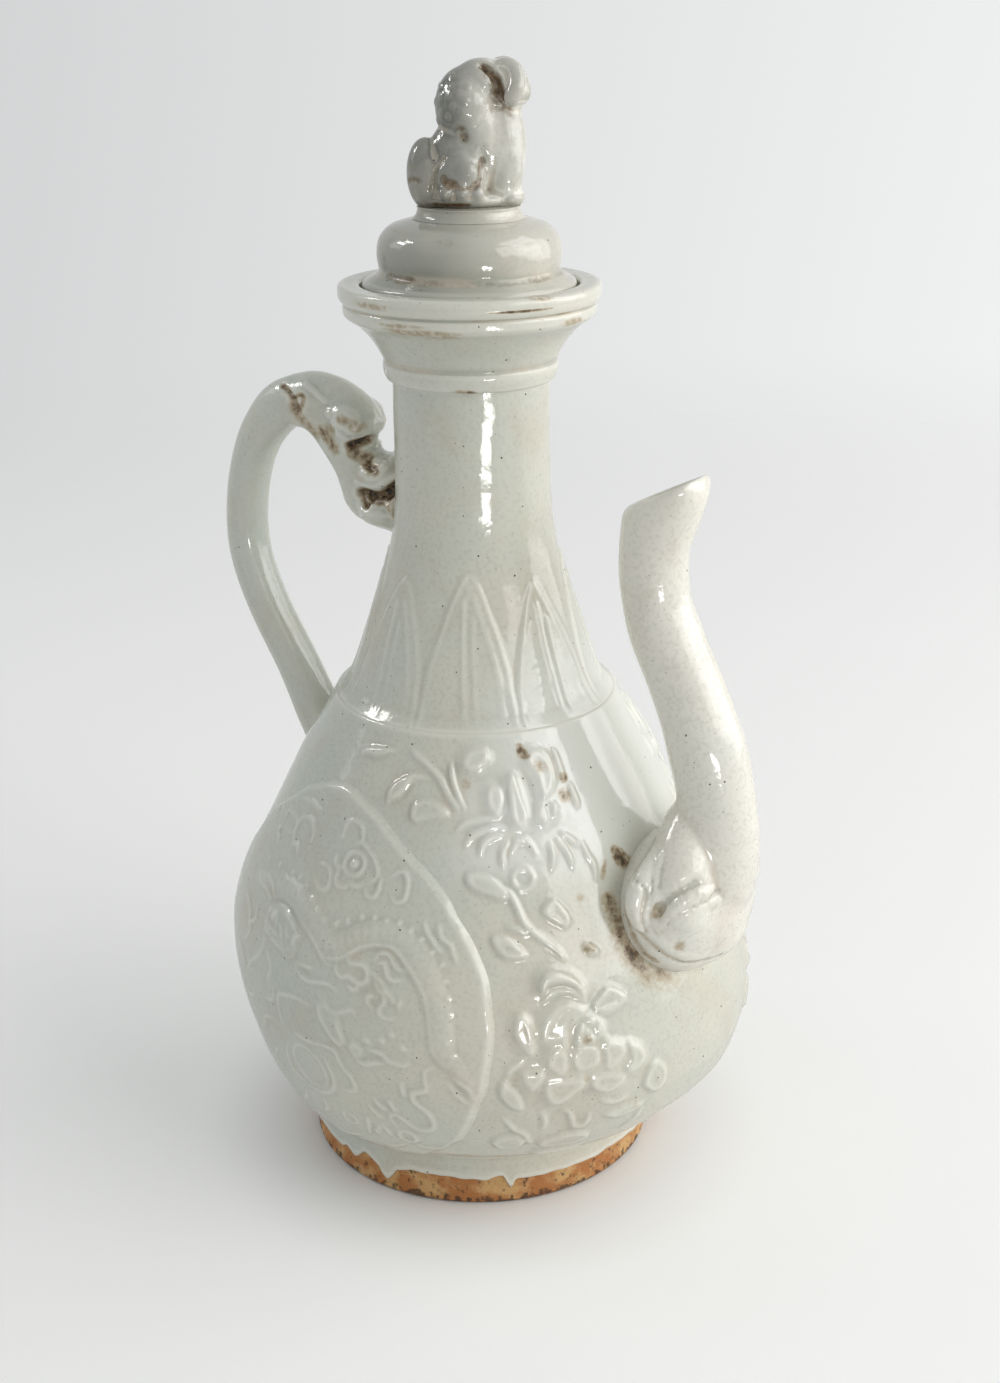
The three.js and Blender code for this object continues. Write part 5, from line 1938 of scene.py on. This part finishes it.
@dataclass
class DragonHandle:
    """The handle: a strap that rises from the belly and ends in a dragon's head biting the neck."""

    skin: BellySkin
    foot_up: float = 111.3
    bow: float = 46.0
    bite_up: float = 188.6
    neck_radius: float = 20.6
    path: str = (
        "-.1,-.043 .125,.106 .337,.276 .605,.485 .789,.669 .871,.83 .876,1.018 .81,1.177 .652,1.292 .451,1.281 "
        ".293,1.154 .147,1.037 -.054,.996"
    )
    strap_end: float = 0.74
    section: Section = Section(
        (0.0, 0.08, 0.2, 0.5, 0.6, 0.68, 0.76),
        (7.0, 6.0, 5.4, 5.4, 6.0, 7.1, 7.4),
        (8.4, 7.0, 6.4, 6.4, 6.5, 6.9, 7.1),
    )
    head: str = (
        "-63,207.5 -65,213 -62,218.4 -58,219.9 -53,220.9 -46.9,220.4 -41.4,218.8 -37,216.6 -33.2,213.4 -31.2,210.6 "
        "-30.8,207 -31.4,204 -31.6,201.8 -28.5,200.7 -22,201.4 -16.8,201.8 -16.8,179.2 -27.5,178.7 -31,179.1 "
        "-35,180.2 -39,182.2 -41.5,185.2 -42.8,188.8 -44.4,193 -46.8,196.3 -49.7,200 -53,203.2 -57.5,205.2"
    )
    head_thick: float = 7.5
    marks: tuple[Mark, ...] = (
        Mark("-60,217 -57.5,216 -56,215.2 -54.4,213.8 -53.4,212 -54.2,210.2", 1.5, -1.2, 2.6),
        Mark("-54.4,214.4 -52.6,215.3 -51,214.8 -51.6,212.6 -53.4,210", 1.6, -0.5, 1.7),
        Mark("-55,212 -53,209 -50,206.5 -48,204.5", 6.0, -0.15, 1.1),
        Mark("-51.5,218.2 -49,217.2 -47.3,216.4 -45.4,215.4 -43.8,214.5", 2.0, 0.75),
        Mark("-42.2,211.4", 3.6, 0.9),
        Mark("-45,206 -43,203.8 -41,201.6", 5.4, -0.25, 1.5),
        Mark("-42.6,207.6 -41,206.4", 4.4, -0.25, 1.0),
        Mark("-39.4,206.2 -37.6,205.4", 3.4, 0.6),
        Mark("-37.5,210.4 -35.4,209.6 -33.4,208.4", 4.6, -0.25, 0.95),
        Mark("-34.5,207.4 -31,208.4 -29,208", 5.0, 0.7),
        Mark("-36.4,202.9 -34.4,203.5 -32.4,204.1 -30.4,205 -28.6,204.6 -26.8,203.4", 2.7, -2.6, 3.4),
        Mark("-35.4,201 -33,199.9 -31,198.9 -28.6,198.2 -26.4,197.6", 4.6, -0.5, 1.7),
        Mark("-31.4,199.4 -29.4,198.4 -27.4,197.8", 2.4, -0.9, 2.1),
        Mark("-30.4,201.8 -28.2,201 -26,200.4", 1.5, 0.7),
        Mark("-24.2,199.2", 4.4, 1.3, 0.3),
        Mark("-32.2,195.8 -31.6,196.2", 2.2, 0.6),
        Mark("-29.6,196.2 -28.9,195.9", 1.6, 0.4, 0.5),
        Mark("-32.6,190.3 -30.6,190.5 -28,190.1 -25.4,190.4 -23,192 -20.6,193.9", 3.2, -2.6, 3.2),
        Mark("-23.4,190.6 -21.4,191.8 -19.8,193.4", 5.6, -1.2, 3.0),
        Mark("-31.6,188.4 -30.2,187.2 -28.6,188.2 -29.4,189.6", 2.4, -1.5, 2.6),
        Mark("-30.2,188.6", 1.5, 1.4),
        Mark("-28.4,187 -28,187.4", 1.5, 1.2),
        Mark("-26.4,188.4 -24.4,188.4", 2.6, -0.5, 1.9),
        Mark("-23.6,187.6 -22.2,186.6 -21,187.4 -22,188.6", 1.8, 0.9, 1.0),
        Mark("-21.2,185.8 -20.6,183.8", 2.6, -0.4, 1.6),
        Mark("-33.6,193.2 -30,192.8 -26.4,193 -23.6,194.6 -21,196.4", 2.4, 0.6),
        Mark("-33.6,186.4 -30,185 -26,185.2 -22,185", 2.6, 0.4),
    )

    def rod(self) -> Rod:
        """Returns the handle's path."""
        spots = places(self.path)
        radius, height = self.skin.outline[:, 0], self.skin.outline[:, 1]
        root = np.interp(self.foot_up, height, radius)
        base = np.linspace(root, self.neck_radius, len(spots))
        up = self.foot_up + (self.bite_up - self.foot_up) * spots[:, 1]
        return Rod(np.stack([-(base + self.bow * spots[:, 0]), up], 1))

    def build(self) -> Object:
        """Makes the handle and its head."""
        clay = Clay("dragon_handle", 0.44, 26)
        clay.tube(self.rod(), 0.0, self.strap_end, self.section, 0.82)
        clay.slab(self.head, self.head_thick)
        clay.pair((-38.2, -4.8, 209.6), (5.6, 4.2, 4.6), 25)
        clay.pair((-27.4, -4.6, 195.9), (6.4, 4.6, 4.2))
        clay.pair((-28.4, -4.2, 184.8), (6.6, 4.8, 4.2))
        piece = clay.pressed()
        tool = ToolWork(piece)
        tool.work(self.marks)
        tool.finish(3)
        return piece


@dataclass
class SpoutMask:
    """The monster's mask that the spout grows from, pressed against the belly."""

    root: float = 84.3
    root_out: float = 67.29
    lift: float = 6.0
    half: Spot = (17.6, 24.6, 20.4)
    wiped_below: float = 160.0
    flap: str = "68.5,-4,114 67.2,-10.4,109.4 66,-16.2,105.6 65,-20.8,101.4 64.6,-23.6,96.5 66.8,-23.7,91.5"
    filling: str = "70.5,-4,113 71,-8.5,107 72.4,-12.4,100.5 73,-14.6,94"
    wipe_rounds: int = 30
    lip_from: float = 187.0
    lip_wiped: float = 0.8
    tip_way: Spot = (0.88, 0.0, 0.475)
    tip_length: float = 6.5
    tip_press: float = 0.9
    marks: tuple[Mark, ...] = (
        Mark("63,-17,107 64.6,-20,103 65.4,-22.4,98.4 66.2,-24,94.4 68,-24,90.6", 2.5, -0.68),
        Mark("68.4,-15,107.4 68.2,-17.6,104.8 69.4,-21.2,99.9 70,-22.8,96.8", 2.8, 0.43),
        Mark("70.6,-22.9,96 70.8,-22.6,94.8", 5.8, -1.3, 0.75),
        Mark("71,-22.8,95.2", 3, -0.32, 1.2),
        Mark("77,-16,102.6 75.2,-18.7,100.7 73,-20.8,98.4 72,-21.8,96.8", 6.7, -1.24),
        Mark("70.6,-23.2,93.2 73.4,-21.8,95.4 75.7,-19.6,97.9 77.7,-16.1,99.4 80,-12,100.6", 4.1, 0.68),
        Mark("73.4,-22,93.6 77,-18.4,96.8 79.6,-14,98.4 81.4,-10,99.2", 2.5, -0.5, 0.25),
        Mark("71,-23.3,91.8 75.1,-21,94.9 79.1,-15.4,96.6 81.9,-10.6,97", 3.7, 0.4),
        Mark("66.5,-24.6,90 69.4,-23.4,87 73.4,-20.8,82.6 76,-17.6,79.6 79,-13.4,78.2 82,-6,78", 3, -0.43, 0.5),
        Mark("67.4,-24.8,91.6 70.6,-23.8,88.4 74.4,-21,84.4 77,-17.6,81.6 80,-13,80.4", 4.1, 0.36),
        Mark("76,-20.4,86.6 76.4,-20,85.4", 5.3, -0.24, 0.8),
        Mark("64,-24,88 66,-23.4,84 69.6,-21.4,79.6", 3.9, -0.24, 0.9),
        Mark("60.6,-21.4,98 61.4,-22.2,94 63.4,-23.6,90", 2.8, -0.24, 0.6),
    )

    def build(self, spout: Spout) -> Object:
        """Makes the mask.

        Args:
            spout: The spout that it swallows.

        Returns:
            The mask.
        """
        clay = Clay("spout_and_mask", 0.48, 5)
        clay.add(*spout.shell())
        clay.ball((self.root_out, 0, self.root + self.lift), self.half)
        centres, _ = spout.rod().at(np.linspace(0.06, 0.4, 14))
        sizes = np.interp(np.linspace(0.06, 0.4, 14), (0.06, 0.2, 0.3, 0.4), (13.2, 12.4, 11.2, 9.6))
        clay.rope([(x, 0.0, z) for x, z in centres], list(sizes), False)
        clay.rope(places(self.flap), [2.2, 2.8, 3.2, 3.4, 3.1, 2.6])
        clay.rope(places(self.filling), [7.6, 8.6, 8.8, 8.6])
        clay.ball((72.0, 0, 84.0), (12.2, 17.0, 11.4))
        piece = clay.pressed()
        self._wiped(piece)
        self._blunted(piece)
        tool = ToolWork(piece, mirrored=True)
        tool.work(self.marks)
        tool.finish(2)
        return piece

    def _blunted(self, piece: Object) -> None:
        """Presses the spout's sharp outer tip back to a round, thick end."""
        points = points_of(piece)
        along = points @ self.tip_way
        high = points[:, 2] > self.lip_from - 2
        start = along[high].max() - self.tip_length
        over = np.maximum(along - start, 0) * high
        pressed = over - over**2 * self.tip_press / (2 * self.tip_length)
        move_points(piece, points + (pressed - over)[:, None] * self.tip_way)
        soften(piece, 2)

    def _wiped(self, piece: Object) -> None:
        """Wipes the mask into the spout and the lip round."""
        before = points_of(piece)
        soften(piece, self.wipe_rounds)
        up = before[:, 2]
        share = smooth_share(up, self.wiped_below, self.wiped_below - 14)
        share = share + self.lip_wiped * smooth_share(up, self.lip_from, self.lip_from + 4)
        move_points(piece, before + (points_of(piece) - before) * share[:, None])


@dataclass
class Lion:
    """The seated lion that serves as the lid's knob, modelled facing +X and then turned."""

    base: float = 268.8
    turn: float = 38.0
    masses: str = (
        "3.8,0,29.8,7.6,7.6,6 3,0,15.6,8.4,7.7,13.4 -0.2,0,1.5,12.4,9.7,2.5 10.4,0,1.9,4.4,7.6,2.7 "
        "8.1,0,14.2,6.9,7.3,14 9.3,-3.4,9.5,4.6,4.1,11 8.5,0,28.6,7.4,7,6.9 13.6,0,27.6,2.8,4.1,3.4 "
        "13,0,30.6,2.6,3.6,2.2 -0.5,0,24.2,7.7,8.5,9.8 -2.6,0,12.6,7.4,7.3,8.6 -2.3,-4.5,7,7.2,5.5,7.2 "
        "-0.7,-9,8.7,2.4,1.5,2.6 -6.6,-8.9,3.7,1.9,1.7,1.9 -2.3,-8.9,3.7,1.9,1.7,1.9 1.7,-8.9,3.7,1.9,1.7,1.9 "
        "-10.9,0,8,4.9,5.6,9 -10.4,-3.4,6.4,3.9,3.2,6.8"
    )
    curls: str = (
        "-4.7,-6.6,29.7 -2.5,-7.2,30.2 -0.4,-7.4,29.3 -5.1,-7,27.4 -2.9,-7.8,27.9 -1.2,-8.2,25.9 -4.2,-7.4,24.8 "
        "-2,-8.3,23.2 -5.6,-6.8,22 -2.6,-7.6,19.6 -6.8,-4,26.6 -7.2,-4.4,23 -6.4,-2,29.2 -3.8,-3.6,31.6 -7.9,0,25.4 "
        "-7.6,-1.2,20.6"
    )
    marks: tuple[Mark, ...] = (
        Mark(
            "3.6,-5,34.2 5.2,-5.6,32.6 6.8,-6.2,30.4 7.6,-6.6,28.2 8.6,-6.6,26 10,-6.4,24.4 11.6,-6,24.6",
            2.9,
            -1.7,
            2.7,
        ),
        Mark("4.2,-6,32 5.8,-6.4,28.6 8,-6.6,25 10.4,-6,23.2", 4.6, -0.3, 1.0),
        Mark("-2.4,-7.8,18.6 -1.6,-7.6,16.8", 3.4, -0.5, 1.1),
        Mark("-7.2,-7,12.6 -8.6,-6.6,9.6 -9.4,-6.2,4.6", 2.2, -0.7, 0.5),
        Mark("-8,-9.6,7.6 -6.4,-9.8,6.7 -4.4,-9.8,6", 2.8, -0.5, 1.6),
        Mark("3.2,-8.6,11.4 3,-8.8,9 2.2,-8.8,6.6 0.6,-9.2,5.6", 2.6, -0.6, 1.5),
        Mark("-6,-10,5.8 -2.4,-10.2,5 1,-9.8,5.2", 1.6, -0.3, 1.0),
        Mark("-15.6,-2,6.2 -14,-3.4,6.9 -12,-4.8,6.6", 1.7, -0.4, 1.5),
        Mark("-9,-6,0.7 -5,-8.4,0.5 -1,-9.4,0.5", 1.7, -0.3, 2.6),
        Mark("-12.8,-3,0.9 -10,-5.4,0.7", 1.4, -0.2, 0.9),
        Mark("2.6,-8,14 3.4,-7.6,11 4.4,-7.6,8 4.6,-8,4.6", 2.6, -0.4),
        Mark("14.8,-2.4,29.8", 1.2, -0.2, 1.6),
        Mark("12.6,-5,25.4 14.4,-3.6,25.2 15.6,-1.6,25", 1.4, -0.5, 0.25),
        Mark("12.8,-4,31.4 14,-2.6,31.2", 1.6, -0.4, 0.3),
        Mark("14,-2.2,6.4 14.6,-1.8,5", 1.3, -0.3, 1.0),
    )

    def _masses(self) -> Clay:
        """Heaps up the lion's body, legs, head, mane and tail."""
        clay = Clay("lion_knob", 0.36, 48)
        clay.masses(self.masses)
        ear = [(8.1, -4.1, 34.2), (10.4, -4.8, 34.0), (12.0, -6.2, 31.9), (11.7, -7.5, 28.9), (10.4, -7.9, 26.4)]
        clay.rope(ear, [1.6, 2.0, 2.2, 2.3, 2.2])
        return clay

    def build(self) -> Object:
        """Makes the lion and sets it on its plinth."""
        piece = self._masses().pressed()
        tool = ToolWork(piece, mirrored=True)
        curls = places(self.curls)
        tool.dabs(np.vstack([curls, curls * [1, -1, 1]]), 1.25, 0.34)
        tool.work(self.marks)
        tool.finish(3)
        points = points_of(piece)
        points[:, 2] = np.maximum(points[:, 2], -0.2)
        angle = math.radians(self.turn)
        x = points[:, 0] * math.cos(angle) - points[:, 1] * math.sin(angle)
        y = points[:, 0] * math.sin(angle) + points[:, 1] * math.cos(angle)
        move_points(piece, np.stack([x, y, points[:, 2] + self.base], 1))
        return piece


# The studio: a pale floor and backdrop, lamps and the camera.


@dataclass(frozen=True)
class Camera:
    """The photograph's camera, worked out from the ewer's rims."""

    place: Spot = (276.97, -414.13, 325.2)
    heading: float = 33.0
    down: float = 20.84
    roll: float = -0.59
    lens_mm: float = 32.97
    sensor_mm: float = 24.0

    def build(self) -> None:
        """Makes the camera and hands it to the scene."""
        turn, tilt, roll = (math.radians(value) for value in (self.heading, self.down, self.roll))
        ahead = Vector((-math.sin(turn) * math.cos(tilt), math.cos(turn) * math.cos(tilt), -math.sin(tilt)))
        right = Vector((math.cos(turn), math.sin(turn), 0))
        up = right.cross(ahead)
        rolled = right * math.cos(roll) + up * math.sin(roll)
        above = rolled.cross(ahead)
        data = bpy.data.cameras.new("camera")
        data.sensor_fit, data.sensor_height, data.lens = "VERTICAL", self.sensor_mm, self.lens_mm
        data.clip_start, data.clip_end = 0.01, 50
        camera = bpy.data.objects.new("camera", data)
        frame_of = Matrix((rolled, above, -ahead)).transposed().to_4x4()
        camera.matrix_world = Matrix.Translation(Vector(self.place) * METRES_PER_MM) @ frame_of
        bpy.context.scene.collection.objects.link(camera)
        bpy.context.scene.camera = camera


@dataclass(frozen=True)
class Lamp:
    """A lamp, placed by its bearing from the ewer, seen from the camera, and its height over the floor."""

    name: str
    bearing: float
    distance: float
    height: float
    wide: float
    tall: float
    watts: float
    glint_only: bool = False
    colour: Colour = (1.0, 0.985, 0.96)

    def build(self, heading: float, target: Vector) -> None:
        """Makes the lamp and turns it to the ewer.

        Args:
            heading: The camera's heading in degrees.
            target: The point that it shines at.
        """
        turn, bearing = math.radians(heading), math.radians(self.bearing)
        right = Vector((math.cos(turn), math.sin(turn), 0))
        toward = Vector((math.sin(turn), -math.cos(turn), 0))
        data = bpy.data.lights.new(self.name, "AREA")
        data.shape, data.size, data.size_y = "RECTANGLE", self.wide, self.tall
        data.energy, data.color = self.watts, self.colour
        lamp = bpy.data.objects.new(self.name, data)
        lamp.location = (right * math.sin(bearing) + toward * math.cos(bearing)) * self.distance
        lamp.location.z = self.height
        lamp.rotation_euler = (target - lamp.location).to_track_quat("-Z", "Y").to_euler()
        lamp.visible_camera, lamp.visible_diffuse = False, not self.glint_only
        bpy.context.scene.collection.objects.link(lamp)


@dataclass
class Studio:
    """The floor, the backdrop, the lamps and the camera."""

    camera: Camera = Camera()
    aim_up: float = 0.13
    floor_at: float = -0.05
    floor_radius: float = 3.0
    floor_colour: Colour = (0.86, 0.86, 0.86)
    floor_glow: float = 0.13
    fill: Colour = (0.98, 1.0, 0.99)
    fill_strength: float = 0.53
    dim_side: Colour = (0.63, 0.64, 0.645)
    bright_side: Colour = (0.875, 0.88, 0.88)
    lamps: tuple[Lamp, ...] = (
        Lamp("window_right", 98.0, 1.15, 0.50, 0.9, 0.9, 5.2),
        Lamp("window_front", 58.0, 1.3, 0.80, 1.0, 0.8, 7.9),
        Lamp("window_left", -105.0, 1.2, 0.75, 0.5, 0.5, 1.0, False, (0.95, 0.98, 1.0)),
        Lamp("slit_low", 20.0, 0.45, 0.112, 0.1, 0.046, 0.31, True),
        Lamp("pane_high", 84.0, 1.0, 1.34, 1.1, 0.6, 7.0, True, (0.94, 0.97, 1.0)),
        Lamp("pane_right", 80.0, 1.1, 0.53, 0.86, 0.56, 3.0, True, (0.94, 0.97, 1.0)),
        Lamp("pane_left", -104.0, 1.05, 0.85, 0.3, 0.14, 2.2, True),
        Lamp("pane_left_upper", -100.0, 1.05, 1.1, 0.3, 0.14, 2.0, True),
    )

    def world(self) -> None:
        """Makes the backdrop's colour and the soft light from all round."""
        net = Nodes("backdrop", world=True)
        bpy.context.scene.world = net.material
        net.tree.nodes.clear()
        path = net.add("LightPath").outputs
        seen = net.sums("ADD", path["Is Camera Ray"], path["Is Glossy Ray"], clamp=True)
        seen = net.sums("ADD", seen, path["Is Transmission Ray"], clamp=True)
        turn = math.radians(self.camera.heading)
        side = {0: net.add("TexCoord").outputs["Generated"], 1: (math.cos(turn), math.sin(turn), -0.2)}
        side = net.add("VectorMath", side, operation="DOT_PRODUCT").outputs["Value"]
        sweep = net.add("MapRange", {"Value": side, "From Min": -0.3, "From Max": 0.3}).outputs["Result"]
        soft = net.add("Background", {"Color": (*self.fill, 1), "Strength": self.fill_strength})
        pale = net.add("Background", {"Color": net.mixed(sweep, self.dim_side, self.bright_side)})
        both = net.add("MixShader", {0: seen, 1: soft.outputs[0], 2: pale.outputs[0]})
        net.add("OutputWorld", {0: both.outputs[0]})

    def floor(self) -> None:
        """Makes the pale floor, which fades into the backdrop far from the ewer; its glow for the camera is held back
        close to the foot, which paints a darker shadow ring round it.
        """
        reach = self.floor_radius / METRES_PER_MM
        disc = np.array([(reach, self.floor_at), (reach * 0.1, self.floor_at), (0, self.floor_at)])
        floor = turned_piece("floor", disc, 96)
        net = Nodes("pale_floor")
        away = net.add("VectorMath", {0: net.place()}, operation="LENGTH").outputs["Value"]
        gone = net.share(away, 0.35, 1.3)
        clear = net.add("BsdfTransparent")
        blend = net.add("MixShader", {0: gone})
        seen = net.times(net.add("LightPath").outputs["Is Camera Ray"], self.floor_glow)
        # The glow is held back near the foot: a painted contact shadow.
        seen = net.times(seen, net.share(away, 0.048, 0.088))
        net.dressed(Base_Color=(*self.floor_colour, 1), Roughness=0.7, Specular_IOR_Level=0.15)
        net.dressed(Emission_Color=(1, 1, 1, 1), Emission_Strength=seen)
        net.feed(blend.inputs[1], net.shader.outputs[0])
        net.feed(blend.inputs[2], clear.outputs[0])
        net.tree.links.new(blend.outputs[0], net.tree.nodes["Material Output"].inputs["Surface"])
        floor.data.materials.append(net.material)

    def build(self) -> None:
        """Makes the whole studio."""
        scene = bpy.context.scene
        scene.view_settings.view_transform = "Standard"
        self.world()
        self.floor()
        self.camera.build()
        for lamp in self.lamps:
            lamp.build(self.camera.heading, Vector((0, 0, self.aim_up)))


# Putting it together.


def main() -> None:
    """Builds the ewer sub-assembly by sub-assembly, dresses it and sets up the studio."""
    Studio().build()
    finishes = Finishes()
    skin = BellySkin()
    panel = DragonPanel(skin)
    finishes.dress(Belly(skin).build(panel), Slot.GLAZE, Body.VESSEL, "belly", hollows=True)
    for name, node, side in (("dragon_panel_near", "panel_near", -1), ("dragon_panel_far", "panel_far", 1)):
        finishes.dress(panel.build(name, side), Slot.GLAZE, Body.VESSEL, node, hollows=True)
    foot = Foot()
    finishes.dress(foot.ring(), Slot.BISCUIT, Body.VESSEL, "foot_ring")
    finishes.dress(foot.floor(), Slot.BISCUIT, Body.VESSEL, "base_floor")
    finishes.dress(Neck().build(), Slot.GLAZE, Body.VESSEL, "neck", hollows=True)
    finishes.dress(CupMouth().build(), Slot.GLAZE, Body.VESSEL, "mouth_cup", hollows=True)
    finishes.dress(SpoutMask().build(Spout()), Slot.WARM, Body.VESSEL, "spout", "spout_mask")
    finishes.dress(DragonHandle(skin).build(), Slot.GLAZE, Body.VESSEL, "handle_loop", "handle_head")
    lid = Lid()
    finishes.dress(lid.cover(), Slot.LID, Body.LID, "lid_cover", hollows=True)
    finishes.dress(lid.bezel(), Slot.BISCUIT, Body.LID, "lid_bezel")
    finishes.dress(lid.plinth(), Slot.LID, Body.LID, "finial_plinth")
    finishes.dress(Lion().build(), Slot.KNOB, Body.LID, "finial_lion")


if __name__ == "__main__":
    main()
